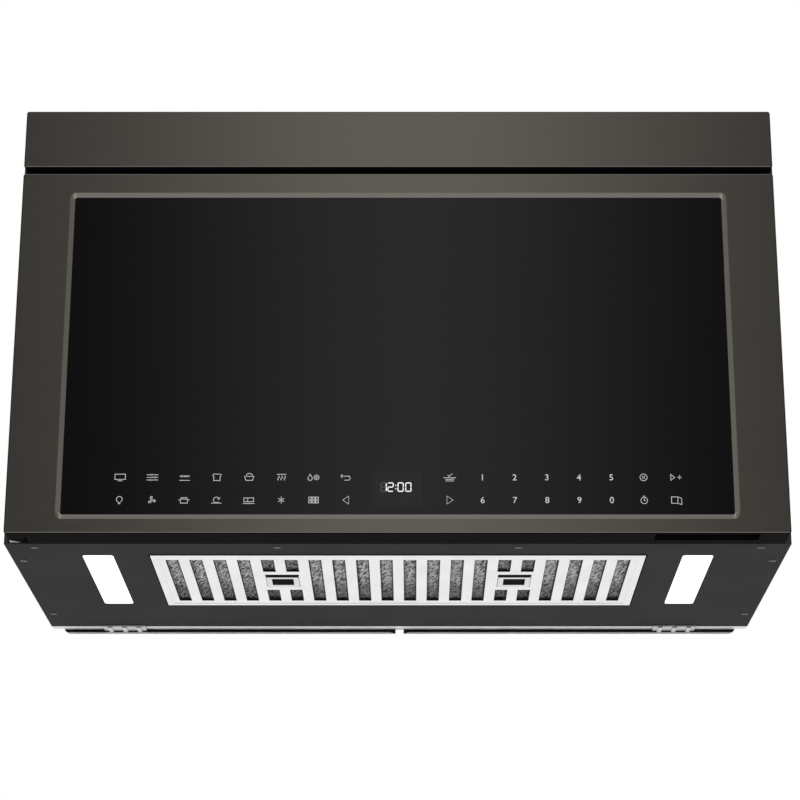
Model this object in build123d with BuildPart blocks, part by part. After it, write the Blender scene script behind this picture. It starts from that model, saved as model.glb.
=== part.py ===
"""Over the range microwave oven with a full-width glass door, in millimetres.

The origin lies on the wall, on the centreline, level with the cabinet's underside.
+X is to the right, +Y towards the wall and +Z up, so the door faces -Y.
Depths are counted back from the door's front face.
"""

import math
import os

from build123d import *

# ---------------------------------------------------------------- clearances
clear = 0.3  # between pieces that lie beside each other
running = 0.05  # radial, round a shaft or a pin
press = 0.02  # radial, between a shaft and the hub on it

# ---------------------------------------------------------------- cabinet
cabinet_width = 760.0
overall_depth = 386.0
wall_gap = 5.0
wrap_sheet = 1.0
wrap_foot = 21.0
wrap_foot_setback = 8.0
floor_sheet = 1.2
rear_sheet = 1.0
rear_flange = 10.5
frame_sheet = 1.2
frame_foot = 24.0
frame_foot_inset = 22.0
shelf_height = 72.0
shelf_sheet = 1.0
shelf_rail = 20.0
shelf_rail_inset = 40.0
shelf_duct_depth = 40.0
shelf_duct_setback = 6.0
shelf_duct_inset = 10.0
shelf_duct_width = 110.0
right_angle = 90.0

# ---------------------------------------------------------------- wall mounting plate
mount_inset = 11.4
mount_sheet = 1.5
mount_drop = 4.8
mount_top_drop = 46.6
mount_corner = 8.5
notch_half_width = 4.4
mount_window_width = 150.0
mount_window_height = 210.0
mount_window_pitch = 195.0
mount_window_bottom = 95.0
stud_spacing = 406.4
lag_row_spacing = 305.0
lag_row_bottom = 45.0
lag_radius = 3.5
tab_x = 299.9
tab_width = 46.0
tab_reach = 22.0
tab_sheet = 1.5
tab_gap = 0.4
rib_pitch = 15.6
rib_width = 4.6
rib_height = 1.4
rib_count = 3

# ---------------------------------------------------------------- underside
screw_radius = 1.6
screw_head_radius = 3.6
screw_head_height = 1.0
screw_length = 8.0
screw_clearance = 0.15
frame_screw_mid = 117.0
frame_screw_inset = 28.0
frame_screw_depth = 50.0
side_screw_inset = 10.2
side_screw_depths = (99.0, 313.7)
lens_inset = 85.4
lens_width = 29.8
lens_length = 189.7
lens_depth = 80.0
lens_corner = 3.0
lens_glass = 3.2
lens_lap = 4.0
tray_height = 24.0
tray_wall = 0.8
tray_flange = 3.0
lamp_board_sheet = 1.6
lamp_board_margin = 3.0
led_count = 8
led_size = 3.5
led_height = 0.8

# ---------------------------------------------------------------- grease filter
filter_inset = 135.5
filter_length = 198.6
filter_depth = 76.8
filter_gap = 1.4
filter_rim_drop = 0.8
filter_sheet = 1.2
filter_wall_height = 8.4
filter_rim_width = 7.0
floor_rim_height = 9.0
slot_pitch = 23.5
slot_width = 12.7
slot_length = 160.8
slot_margin = 7.0
short_slot_length = 44.9
mesh_thick = 6.0
mesh_margin = 1.0
latch_columns = 5
latch_half_width = 16.4
latch_front_depth = 161.1
latch_back_depth = 199.0
latch_travel = 8.0
latch_drop = 1.0
latch_gap = 1.5
latch_flange = 4.0
latch_flange_sheet = 1.6
latch_window_spare = 0.5
latch_top = 9.4
latch_grip_half_width = 11.0
latch_grip_length = 24.3
latch_grip_depth = 4.5
latch_grip_setback = 8.5
latch_nose = 8.0
latch_nose_sheet = 1.8
latch_nose_half_width = 9.0
catch_sheet = 1.0
catch_half_width = 12.0
hook_width = 30.0
hook_reach = 6.0
hook_sheet = 1.2
hook_count = 4
hook_pitch = 110.0

# ---------------------------------------------------------------- door
door_side_gap = 5.5
door_height = 372.9
door_thickness = 38.0
door_gap = 0.6
vent_gap = 7.3
skin_sheet = 1.5
skin_return = 3.6
skin_edge_radius = 1.2
skin_corner_radius = 2.4
door_stile = 52.9
window_bottom = 18.8
door_top_rail = 25.6
window_corner = 1.5
bevel = 4.8
glass_lap = 4.0
glass_thick = 4.0
shell_wall = 3.0
shell_face = 2.0
back_sheet = 1.5
hinge_inset = 8.5
hinge_setback = 11.0
pin_radius = 3.0
bush_wall = 2.0
boss_wall = 2.0
bush_length = 16.0
arm_half_width = 8.0
arm_sheet = 2.5
arm_lift = 1.6
arm_notch_spare = 2.6
bracket_sheet = 2.5
bracket_height = 46.0
sight_left_margin = 27.0
sight_right_margin = 28.0
sight_sill = 26.0
sight_head = 22.0
inner_glass_thick = 3.0
screen_sheet = 0.6
screen_hole = 3.6
screen_pitch = 14.0
screen_margin = 10.0
choke_wall = 1.5
choke_depth = 16.0
choke_width = 18.0
pocket_width = 100.0
pocket_inset = 28.5
pocket_front_depth = 4.5
pocket_back_depth = 26.0
pocket_low_height = 11.0
pocket_height = 24.0
pocket_upper_depth = 10.5
pocket_wall = 2.0
touch_inset = 36.0
touch_bottom = 24.0
touch_top = 73.0
board_sheet = 1.6
display_half_width = 30.0
display_bottom = 28.0
display_top = 60.5
display_thick = 9.0
latch_inset = 22.5
hook_bar_sheet = 5.0
hook_bar_depth = 16.0
hook_bar_bottom = 84.0
hook_bar_top = 262.0
hook_heights = (120.0, 236.0)
hook_arm_height = 10.0
hook_arm_reach = 26.0
hook_nose = 5.0
hook_nose_length = 7.0
hook_travel = 4.0
hook_slot_side = 3.0
hook_slot_end = 1.5
spring_radius = 4.0
spring_wire = 0.6
spring_turns = 8
spring_seat_height = 3.0
spring_seat_z = 52.0

# ---------------------------------------------------------------- top panel and air filter
panel_height = 61.4
air_slot_count = 26
air_slot_width = 7.0
air_slot_pitch = 11.0
air_slot_height = 34.0
air_slot_rise = 13.8
panel_slot_pitch = 22.0
panel_slot_width = 14.0
panel_slot_depth = 19.0
charcoal_half_width = 155.0
charcoal_thick = 15.0
charcoal_margin = 5.0
charcoal_wall = 2.5

# ---------------------------------------------------------------- oven cavity
cavity_side_gap = 35.0
bay_width = 260.0
cavity_headroom = 54.9
rear_bay = 50.2
cavity_floor = 92.0
liner_sheet = 1.0
liner_flange = 8.0
port_width = 60.0
port_height = 40.0
port_bottom = 165.0
port_setback = 190.0
port_cover_lap = 9.0
port_cover_sheet = 0.8
air_hole = 4.0
air_ring_step = 13.0
air_ring_count = 4
air_ring_holes = 6
outlet_ring = 78.0
outlet_holes = 28
shaft_hole = 9.0

# ---------------------------------------------------------------- turntable
tray_gap = 11.0
tray_thick = 5.0
tray_rim = 9.0
tray_rim_width = 5.0
tray_edge_radius = 1.6
coupler_radius = 12.0
coupler_height = 13.0
coupler_wing = 20.0
coupler_wing_width = 7.0
roller_radius = 7.0
roller_width = 6.0
roller_inset = 28.0
roller_count = 3
first_roller_angle = 90.0
axle_radius = 2.0
ring_inset = 38.0
ring_width = 12.0
ring_thick = 4.0
drive_radius = 24.0
drive_height = 14.0
drive_shaft = 3.5
drive_ear = 9.0

# ---------------------------------------------------------------- convection oven
housing_radius = 92.0
housing_depth = 26.0
housing_sheet = 1.0
housing_flange = 7.0
heater_ring = 80.0
heater_wire = 3.0
heater_setback = 11.0
heater_leg_spread = 9.0
fan_radius = 66.0
fan_depth = 12.0
fan_setback = 16.0
fan_blades = 8
fan_blade_sheet = 1.0
fan_hub = 9.0
fan_rim = 3.0
fan_shaft = 3.0
motor_radius = 27.0
motor_depth = 20.0

# ---------------------------------------------------------------- broil element
broil_wire = 3.2
broil_drop = 12.0
broil_leg_half = 125.0
broil_bar_half = 175.0
broil_front_setback = 60.0
broil_loop_setback = 160.0
broil_bend = 18.0
broil_tail = 12.0

# ---------------------------------------------------------------- microwave source
guide_depth = 35.0
guide_width = 90.0
guide_bottom = 150.0
guide_top = 300.0
guide_sheet = 1.0
antenna_radius = 12.0
antenna_length = 24.0
antenna_z = 258.0
antenna_spare = 1.5
tube_radius = 20.0
yoke_width = 84.0
yoke_height = 78.0
yoke_length = 74.0
yoke_sheet = 2.0
fin_count = 9
fin_sheet = 0.8
fin_margin = 7.0
filter_box_length = 18.0
filter_box_inset = 12.0

# ---------------------------------------------------------------- electronics bay
supply_inset = 48.0
supply_width = 150.0
supply_setback = 22.0
supply_length = 130.0
supply_lift = 9.0
supply_post = 4.0
supply_post_inset = 8.0
sink_width = 42.0
sink_height = 46.0
sink_base = 3.2
sink_fins = 7
sink_fin_sheet = 1.6
supply_core = 44.0
supply_winding = 22.0
supply_winding_inset = 5.0
supply_can = 10.0
supply_can_height = 34.0
supply_can_inset = 20.0
supply_can_pitch = 22.0
supply_can_count = 3
power_board_setback = 40.0
power_board_length = 150.0
power_board_bottom = 170.0
power_board_height = 150.0
power_board_lift = 8.0
relay_size = 18.0
relay_height = 20.0
relay_count = 4
relay_pitch = 30.0
shroud_size = 122.0
shroud_depth = 28.0
shroud_inset = 144.0
shroud_z = 262.0
shroud_wall = 4.0
blade_radius = 54.0
blade_hub = 17.0
blade_count = 7
blade_chord = 30.0
blade_sheet = 1.6
blade_pitch = 32.0
blade_shaft = 2.5
spider_width = 6.0
spider_count = 3
spider_angle = 30.0
spider_depth = 12.0

# ---------------------------------------------------------------- interlock and door opener
interlock_width = 34.0
interlock_depth = 34.0
interlock_margin = 32.0
interlock_wall = 3.0
switch_size = (8.0, 28.0, 16.0)
switch_heights = (112.0, 178.0, 240.0)
opener_inset = 74.5
opener_drop = 72.9
opener_size = 40.0
opener_length = 52.0
plunger_radius = 5.0
plunger_head_radius = 8.0
plunger_head = 3.0
plunger_travel = 7.5
plunger_length = 40.0
plunger_tip = 0.4

# ---------------------------------------------------------------- vent blower
blower_setback = 70.0
blower_drop = 56.6
scroll_radius = 50.0
scroll_inner_x = 44.0
scroll_width = 80.0
scroll_sheet = 1.2
scroll_outlet = 82.6
intake_radius = 31.0
wheel_radius = 40.0
wheel_width = 56.0
wheel_vanes = 24
wheel_vane_sheet = 1.0
wheel_vane_depth = 9.0
wheel_ring_sheet = 2.0
wheel_hub = 9.0
blower_shaft_radius = 4.0
blower_motor_radius = 33.0
blower_motor_length = 72.0
blower_motor_chamfer = 4.0
cradle_width = 40.0
cradle_sheet = 2.0

# ---------------------------------------------------------------- exhaust adapter
duct_width = 254.0
duct_length = 82.6
duct_sheet = 1.0
duct_flange = 12.0
duct_flange_sheet = 1.2
duct_height = 22.0
flap_sheet = 0.8
flap_pin = 2.0
flap_pin_inset = 6.0
flap_pin_lift = 9.0
flap_stop_width = 40.0
flap_stop_reach = 5.0
flap_stop_sheet = 1.2

# ---------------------------------------------------------------- top of the cabinet
top_bolt_spacing = 609.6
top_bolt_setback = 60.0
top_bolt_radius = 3.4
cord_inset = 50.0
cord_setback = 70.0
cord_hole = 11.0
grommet_bore = 5.0
grommet_lip = 3.0
grommet_lip_sheet = 2.5

# ---------------------------------------------------------------- planes worked out from the sizes
side = cabinet_width / 2
inner_side = side - wrap_sheet
front_y = -overall_depth
door_back_y = front_y + door_thickness
frame_front_y = door_back_y + door_gap
frame_back_y = frame_front_y + frame_sheet
rear_y = -wall_gap
rear_inner_y = rear_y - rear_sheet
floor_back_y = rear_y - rear_flange
top_z = door_height + vent_gap + panel_height
roof_z = top_z - wrap_sheet
shelf_top = shelf_height + shelf_sheet
panel_bottom = door_height + vent_gap
door_side = side - door_side_gap
window_half_width = door_side - door_stile
window_top = door_height - door_top_rail
air_slot_bottom = panel_bottom + air_slot_rise

cavity_left = cavity_side_gap - side
cavity_right = side - bay_width
cavity_ceiling = door_height - cavity_headroom
cavity_back_y = rear_inner_y - rear_bay
cavity_x = (cavity_left + cavity_right) / 2
cavity_y = (frame_back_y + cavity_back_y) / 2
liner_left = cavity_left - liner_sheet
liner_right = cavity_right + liner_sheet
liner_bottom = cavity_floor - liner_sheet
liner_top = cavity_ceiling + liner_sheet
liner_back_y = cavity_back_y + liner_sheet
sight_left = cavity_left + sight_left_margin
sight_right = cavity_right - sight_right_margin
sight_bottom = cavity_floor + sight_sill
sight_top = cavity_ceiling - sight_head
tray_radius = (cavity_back_y - frame_back_y) / 2 - tray_gap
roller_track = tray_radius - roller_inset
ring_outer = tray_radius - ring_inset
ring_inner = ring_outer - ring_width

hinge_x = -door_side + hinge_inset
hinge_y = door_back_y - hinge_setback
hinge_sweep = hinge_setback
latch_x = door_side - latch_inset
opener_x = door_side - opener_inset
opener_z = door_height - opener_drop

filter_front_y = front_y + filter_depth
filter_back_y = filter_front_y + filter_length
filter_y = (filter_front_y + filter_back_y) / 2
filter_half = side - filter_inset
slot_columns = int(2 * (filter_half - slot_margin) / slot_pitch)
filter_top = filter_sheet - filter_rim_drop / 2
latch_center_x = slot_pitch * latch_columns
latch_front_y = front_y + latch_front_depth
latch_back_y = front_y + latch_back_depth
latch_flange_bottom = filter_top + clear
latch_nose_y = latch_back_y + latch_nose
blower_y = rear_inner_y - blower_setback
blower_axis_z = roof_z - blower_drop
lens_x = side - lens_inset
frame_screw_x = (frame_screw_mid, side - frame_screw_inset)
guide_y = frame_back_y + port_setback


def block(x, y, z, mode=Mode.ADD):
    """A box between two limits along X, Y and Z."""
    with Locations(((x[0] + x[1]) / 2, (y[0] + y[1]) / 2, (z[0] + z[1]) / 2)):
        Box(x[1] - x[0], y[1] - y[0], z[1] - z[0], mode=mode)


def rod(radius, axis, at, span, mode=Mode.ADD):
    """A round bar along an axis, placed by its other two coordinates in X, Y, Z order."""
    middle = (span[0] + span[1]) / 2
    turn, center = {
        "X": ((0, right_angle, 0), (middle, at[0], at[1])),
        "Y": ((right_angle, 0, 0), (at[0], middle, at[1])),
        "Z": ((0, 0, 0), (at[0], at[1], middle)),
    }[axis]
    with Locations(center):
        Cylinder(radius, span[1] - span[0], rotation=turn, mode=mode)


def around(center, half):
    """The limits of a length that reaches as far on both sides of its centre."""
    return (center - half, center + half)


def mirrored(x, hand):
    """The limits along X of a piece on the right side, or of its twin on the left."""
    return (x[0], x[1]) if hand > 0 else (-x[1], -x[0])


def save(piece, name):
    """Labels a finished piece and writes it to its own file."""
    piece.part.label = name
    export_step(piece.part, f"parts/{name}.step")


os.makedirs("parts", exist_ok=True)
hands = {"left": -1, "right": 1}

# ================================================================ wall mounting plate
mount_half_width = side - mount_inset
mount_height = top_z - mount_top_drop
with BuildPart() as mounting_plate:
    with BuildSketch(Plane.XZ):
        with BuildLine():
            Polyline(
                (-mount_half_width, -mount_drop),
                (-notch_half_width, -mount_drop),
                (-notch_half_width, 0),
                (notch_half_width, 0),
                (notch_half_width, -mount_drop),
                (mount_half_width, -mount_drop),
                (mount_half_width, mount_height),
                (-mount_half_width, mount_height),
                close=True,
            )
        make_face()
        with Locations((0, mount_window_bottom + mount_window_height / 2)):
            with GridLocations(mount_window_pitch, 1, 3, 1):
                RectangleRounded(mount_window_width, mount_window_height, mount_corner, mode=Mode.SUBTRACT)
        with Locations((0, lag_row_bottom + lag_row_spacing / 2)):
            with GridLocations(stud_spacing, lag_row_spacing, 2, 2):
                Circle(lag_radius, mode=Mode.SUBTRACT)
    extrude(amount=mount_sheet)
    corners = mounting_plate.edges().filter_by(Axis.Y).group_by(Axis.X)
    fillet([*corners[0], *corners[-1]], mount_corner)
    for hand in hands.values():
        tab_top = -tab_gap
        block(
            around(hand * tab_x, tab_width / 2),
            (-tab_reach, -mount_sheet),
            (tab_top - tab_sheet, tab_top),
        )
        with Locations((hand * tab_x, -(tab_reach + mount_sheet) / 2, tab_top - tab_sheet - rib_height / 2)):
            with GridLocations(rib_pitch, 1, rib_count, 1):
                Box(rib_width, tab_reach - mount_sheet, rib_height)
save(mounting_plate, "mounting_plate")

# ================================================================ outer wrap: top and both sides
duct_y = around(blower_y, duct_length / 2 - duct_sheet)
duct_x = around(0, duct_width / 2 - duct_sheet)
cord_at = (side - cord_inset, rear_inner_y - cord_setback)
with BuildPart() as outer_wrap:
    block((-side, side), (frame_front_y, rear_y), (floor_sheet, top_z))
    block((-inner_side, inner_side), (frame_front_y, rear_y), (floor_sheet, roof_z), Mode.SUBTRACT)
    for hand in hands.values():
        block(
            mirrored((inner_side - wrap_foot, inner_side), hand),
            (frame_back_y + wrap_foot_setback, floor_back_y),
            (floor_sheet, floor_sheet + wrap_sheet),
        )
        for depth in side_screw_depths:
            rod(
                screw_radius + screw_clearance,
                "Z",
                (hand * (side - side_screw_inset), front_y + depth),
                (floor_sheet, floor_sheet + wrap_sheet),
                Mode.SUBTRACT,
            )
        rod(
            top_bolt_radius,
            "Z",
            (hand * top_bolt_spacing / 2, frame_back_y + top_bolt_setback),
            (roof_z, top_z),
            Mode.SUBTRACT,
        )
    block(duct_x, duct_y, (roof_z, top_z), Mode.SUBTRACT)
    rod(cord_hole, "Z", cord_at, (roof_z, top_z), Mode.SUBTRACT)
save(outer_wrap, "outer_wrap")

with BuildPart() as cord_grommet:
    rod(cord_hole - clear, "Z", cord_at, (roof_z - grommet_lip_sheet, top_z + grommet_lip_sheet))
    rod(cord_hole + grommet_lip, "Z", cord_at, (top_z, top_z + grommet_lip_sheet))
    rod(cord_hole + grommet_lip, "Z", cord_at, (roof_z - grommet_lip_sheet, roof_z))
    rod(grommet_bore, "Z", cord_at, (roof_z - grommet_lip_sheet, top_z + grommet_lip_sheet), Mode.SUBTRACT)
save(cord_grommet, "cord_grommet")

# ================================================================ rear panel
with BuildPart() as rear_panel:
    block((-inner_side, inner_side), (rear_inner_y, rear_y), (0, roof_z))
    block((-inner_side, inner_side), (floor_back_y, rear_y), (0, rear_sheet))
save(rear_panel, "rear_panel")

# ================================================================ bottom plate and its screws
lens_y = around(front_y + lens_depth + lens_length / 2, lens_length / 2)
with BuildPart() as bottom_plate:
    block((-side, side), (frame_front_y, floor_back_y), (0, floor_sheet))
    block(
        around(0, filter_half + floor_sheet),
        (filter_front_y - floor_sheet, filter_back_y + floor_sheet),
        (floor_sheet, floor_rim_height),
    )
    block(around(0, filter_half), (filter_front_y, filter_back_y), (0, floor_rim_height), Mode.SUBTRACT)
    with Locations((0, filter_back_y + floor_sheet / 2, floor_rim_height / 2 + floor_sheet)):
        with GridLocations(hook_pitch, 1, hook_count, 1):
            Box(hook_width + 2 * clear, floor_sheet, floor_rim_height, mode=Mode.SUBTRACT)
    for hand in hands.values():
        with BuildSketch() as lens_opening:
            with Locations((hand * lens_x, sum(lens_y) / 2)):
                RectangleRounded(lens_width + 2 * clear, lens_length + 2 * clear, lens_corner + clear)
        extrude(lens_opening.sketch, amount=floor_sheet, mode=Mode.SUBTRACT)
        for x in frame_screw_x:
            rod(
                screw_radius + screw_clearance,
                "Z",
                (hand * x, front_y + frame_screw_depth),
                (0, floor_sheet),
                Mode.SUBTRACT,
            )
        for depth in side_screw_depths:
            rod(
                screw_radius + screw_clearance,
                "Z",
                (hand * (side - side_screw_inset), front_y + depth),
                (0, floor_sheet),
                Mode.SUBTRACT,
            )
save(bottom_plate, "bottom_plate")


def pan_head_screw(x, depth):
    """A small pan head screw up through the bottom plate."""
    at = (x, front_y + depth)
    rod(screw_radius, "Z", at, (-screw_head_height, screw_length))
    with BuildSketch(Plane.XY.offset(-screw_head_height)) as head:
        with Locations(at):
            Circle(screw_head_radius - screw_head_height / 2)
    with BuildSketch() as seat:
        with Locations(at):
            Circle(screw_head_radius)
    loft([head.sketch.face(), seat.sketch.face()])


with BuildPart() as underside_screws:
    for hand in hands.values():
        for x in frame_screw_x:
            pan_head_screw(hand * x, frame_screw_depth)
        for depth in side_screw_depths:
            pan_head_screw(hand * (side - side_screw_inset), depth)
save(underside_screws, "underside_screws")

# ================================================================ cooktop lamps
for name, hand in hands.items():
    center = (hand * lens_x, sum(lens_y) / 2)
    with BuildPart() as lamp_lens:
        with BuildSketch(Plane.XY.offset(-clear / 2)):
            with Locations(center):
                RectangleRounded(lens_width, lens_length, lens_corner)
        extrude(amount=floor_sheet + clear / 2)
        with BuildSketch(Plane.XY.offset(floor_sheet)):
            with Locations(center):
                RectangleRounded(lens_width + 2 * lens_lap, lens_length + 2 * lens_lap, lens_corner)
        extrude(amount=lens_glass - floor_sheet)
    save(lamp_lens, f"lamp_lens_{name}")

tray_x = lens_width / 2 + lens_lap
tray_y = lens_length / 2 + lens_lap
with BuildPart() as lamp_trays:
    for hand in hands.values():
        middle = sum(lens_y) / 2
        block(
            around(hand * lens_x, tray_x),
            around(middle, tray_y),
            (lens_glass, lens_glass + tray_height),
        )
        block(
            around(hand * lens_x, tray_x + tray_flange),
            around(middle, tray_y + tray_flange),
            (lens_glass, lens_glass + tray_wall),
        )
        block(
            around(hand * lens_x, tray_x - tray_wall),
            around(middle, tray_y - tray_wall),
            (lens_glass, lens_glass + tray_height - tray_wall),
            Mode.SUBTRACT,
        )
save(lamp_trays, "lamp_trays")

with BuildPart() as lamp_boards:
    board_top = lens_glass + tray_height - tray_wall
    for hand in hands.values():
        middle = sum(lens_y) / 2
        margin = tray_wall + lamp_board_margin
        block(
            around(hand * lens_x, tray_x - margin),
            around(middle, tray_y - margin),
            (board_top - lamp_board_sheet, board_top),
        )
        with Locations((hand * lens_x, middle, board_top - lamp_board_sheet - led_height / 2)):
            with GridLocations(1, (lens_length - lens_width) / (led_count - 1), 1, led_count):
                Box(led_size, led_size, led_height)
save(lamp_boards, "lamp_boards")

# ================================================================ grease filter
panel_half = filter_half - filter_gap
panel_front_y = filter_front_y + filter_gap
panel_back_y = filter_back_y - filter_gap
window_half = latch_half_width + latch_window_spare
window_y = (latch_front_y - latch_travel - latch_gap, latch_back_y + latch_window_spare)
with BuildPart() as filter_panel:
    block(
        around(0, panel_half),
        (panel_front_y, panel_back_y),
        (-filter_rim_drop, filter_wall_height),
    )
    block(
        around(0, panel_half - filter_rim_width),
        (panel_front_y + filter_rim_width, panel_back_y - filter_rim_width),
        (-filter_rim_drop, filter_top - filter_sheet),
        Mode.SUBTRACT,
    )
    block(
        around(0, panel_half - filter_sheet),
        (panel_front_y + filter_sheet, panel_back_y - filter_sheet),
        (filter_top, filter_wall_height),
        Mode.SUBTRACT,
    )
    for column in range(slot_columns):
        x = (column - (slot_columns - 1) / 2) * slot_pitch
        if abs(abs(x) - latch_center_x) < window_half + slot_width / 2:
            reach = (slot_length - short_slot_length) / 2
            places, length = ((x, filter_y - reach), (x, filter_y + reach)), short_slot_length
        else:
            places, length = ((x, filter_y),), slot_length
        with BuildSketch(Plane.XY.offset(-filter_rim_drop)) as slots:
            with Locations(*places):
                Rectangle(slot_width, length)
        extrude(slots.sketch, amount=filter_rim_drop + filter_top, mode=Mode.SUBTRACT)
    for hand in hands.values():
        block(
            around(hand * latch_center_x, window_half),
            window_y,
            (-filter_rim_drop, filter_top),
            Mode.SUBTRACT,
        )
    hook_y = panel_back_y + (hook_reach - filter_sheet) / 2
    with Locations((0, hook_y, filter_wall_height - hook_sheet / 2)):
        with GridLocations(hook_pitch, 1, hook_count, 1):
            Box(hook_width, hook_reach + filter_sheet, hook_sheet)
save(filter_panel, "filter_panel")

with BuildPart() as filter_mesh:
    block(
        around(0, panel_half - filter_sheet - mesh_margin),
        (panel_front_y + filter_sheet + mesh_margin, panel_back_y - filter_sheet - mesh_margin),
        (filter_top, filter_top + mesh_thick),
    )
    for hand in hands.values():
        block(
            around(hand * latch_center_x, window_half + latch_flange + mesh_margin),
            (window_y[0] - mesh_margin, window_y[1] + latch_flange + mesh_margin),
            (filter_top, filter_top + mesh_thick),
            Mode.SUBTRACT,
        )
save(filter_mesh, "filter_mesh")

for name, hand in hands.items():
    x = hand * latch_center_x
    with BuildPart() as filter_latch:
        block(around(x, latch_half_width), (latch_front_y, latch_back_y), (-latch_drop, latch_top))
        block(
            around(x, latch_half_width + latch_flange),
            (latch_front_y, latch_back_y + latch_flange),
            (latch_flange_bottom, latch_flange_bottom + latch_flange_sheet),
        )
        block(
            around(x, latch_nose_half_width),
            (latch_back_y, latch_nose_y),
            (latch_top - latch_nose_sheet, latch_top),
        )
        grip_y = latch_back_y - latch_grip_setback
        block(
            around(x, latch_grip_half_width),
            (grip_y - latch_grip_length, grip_y),
            (-latch_drop, -latch_drop + latch_grip_depth),
            Mode.SUBTRACT,
        )
    save(filter_latch, f"filter_latch_{name}")

# ================================================================ front frame
latch_slot_x = around(latch_x, hook_bar_sheet / 2 + hook_slot_side)
arm_slot_x = around(hinge_x, arm_half_width + arm_notch_spare)
lower_arm = (arm_lift, arm_lift + arm_sheet)
upper_arm = (door_height - arm_lift - arm_sheet, door_height - arm_lift)
with BuildPart() as front_frame:
    block((-inner_side, inner_side), (frame_front_y, frame_back_y), (floor_sheet, roof_z))
    foot_half = side - frame_foot_inset
    block(
        (-foot_half, foot_half),
        (frame_front_y, frame_front_y + frame_foot),
        (floor_sheet, floor_sheet + frame_sheet),
    )
    block(
        (cavity_left, cavity_right),
        (frame_front_y, frame_back_y),
        (cavity_floor, cavity_ceiling),
        Mode.SUBTRACT,
    )
    with Locations((0, (frame_front_y + frame_back_y) / 2, air_slot_bottom + air_slot_height / 2)):
        with GridLocations(air_slot_pitch, 1, air_slot_count, 1):
            Box(air_slot_width, frame_sheet, air_slot_height, mode=Mode.SUBTRACT)
    for height in hook_heights:
        block(
            latch_slot_x,
            (frame_front_y, frame_back_y),
            (
                height - hook_arm_height / 2 - hook_nose - hook_slot_end,
                height + hook_arm_height / 2 + hook_travel + hook_slot_end,
            ),
            Mode.SUBTRACT,
        )
    rod(
        plunger_head_radius + clear,
        "Y",
        (opener_x, opener_z),
        (frame_front_y, frame_back_y),
        Mode.SUBTRACT,
    )
    for arm in (lower_arm, upper_arm):
        block(
            arm_slot_x,
            (frame_front_y, frame_back_y),
            (arm[0] - clear, arm[1] + clear),
            Mode.SUBTRACT,
        )
    for hand in hands.values():
        for x in frame_screw_x:
            rod(
                screw_radius + screw_clearance,
                "Z",
                (hand * x, front_y + frame_screw_depth),
                (floor_sheet, floor_sheet + frame_sheet),
                Mode.SUBTRACT,
            )
save(front_frame, "front_frame")

# ================================================================ top panel and charcoal filter
with BuildPart() as top_panel:
    block((-door_side, door_side), (front_y, frame_front_y), (panel_bottom, top_z))
    fillet(top_panel.edges().filter_by(Axis.Y), skin_corner_radius)
    fillet(top_panel.faces().sort_by(Axis.Y)[0].edges(), skin_edge_radius)
    block(
        (skin_sheet - door_side, door_side - skin_sheet),
        (front_y + skin_sheet, frame_front_y),
        (panel_bottom + skin_sheet, top_z - skin_sheet),
        Mode.SUBTRACT,
    )
    with Locations((0, (front_y + frame_front_y) / 2, panel_bottom + skin_sheet / 2)):
        with GridLocations(panel_slot_pitch, 1, air_slot_count, 1):
            Box(panel_slot_width, panel_slot_depth, skin_sheet, mode=Mode.SUBTRACT)
save(top_panel, "top_panel")

with BuildPart() as charcoal_filter:
    charcoal_z = (air_slot_bottom - charcoal_margin, air_slot_bottom + air_slot_height + charcoal_margin)
    block(around(0, charcoal_half_width), (frame_back_y, frame_back_y + charcoal_thick), charcoal_z)
    with Locations((0, frame_back_y + charcoal_wall / 2, sum(charcoal_z) / 2)):
        with GridLocations(air_slot_pitch, 1, air_slot_count, 1):
            Box(air_slot_width, charcoal_wall, air_slot_height, mode=Mode.SUBTRACT)
save(charcoal_filter, "charcoal_filter")

# ================================================================ base shelf with rails and filter catches
with BuildPart() as base_shelf:
    block((-inner_side, inner_side), (frame_back_y, rear_inner_y), (shelf_height, shelf_top))
    duct_back_y = rear_inner_y - shelf_duct_setback
    block(
        (shelf_duct_inset - inner_side, shelf_duct_inset + shelf_duct_width - inner_side),
        (duct_back_y - shelf_duct_depth, duct_back_y),
        (shelf_height, shelf_top),
        Mode.SUBTRACT,
    )
    block(
        (cavity_right - shelf_duct_width, cavity_right),
        (duct_back_y - shelf_duct_depth, duct_back_y),
        (shelf_height, shelf_top),
        Mode.SUBTRACT,
    )
    for x in (cavity_left + shelf_rail_inset, cavity_right - shelf_rail_inset):
        block(
            around(x, shelf_rail / 2),
            (frame_back_y + shelf_rail, cavity_back_y - shelf_rail),
            (shelf_top, liner_bottom),
        )
    for hand in hands.values():
        block(
            around(hand * latch_center_x, catch_half_width),
            (latch_nose_y + clear, latch_nose_y + clear + catch_sheet),
            (filter_top + mesh_thick + 2 * clear, shelf_height),
        )
save(base_shelf, "base_shelf")

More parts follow.
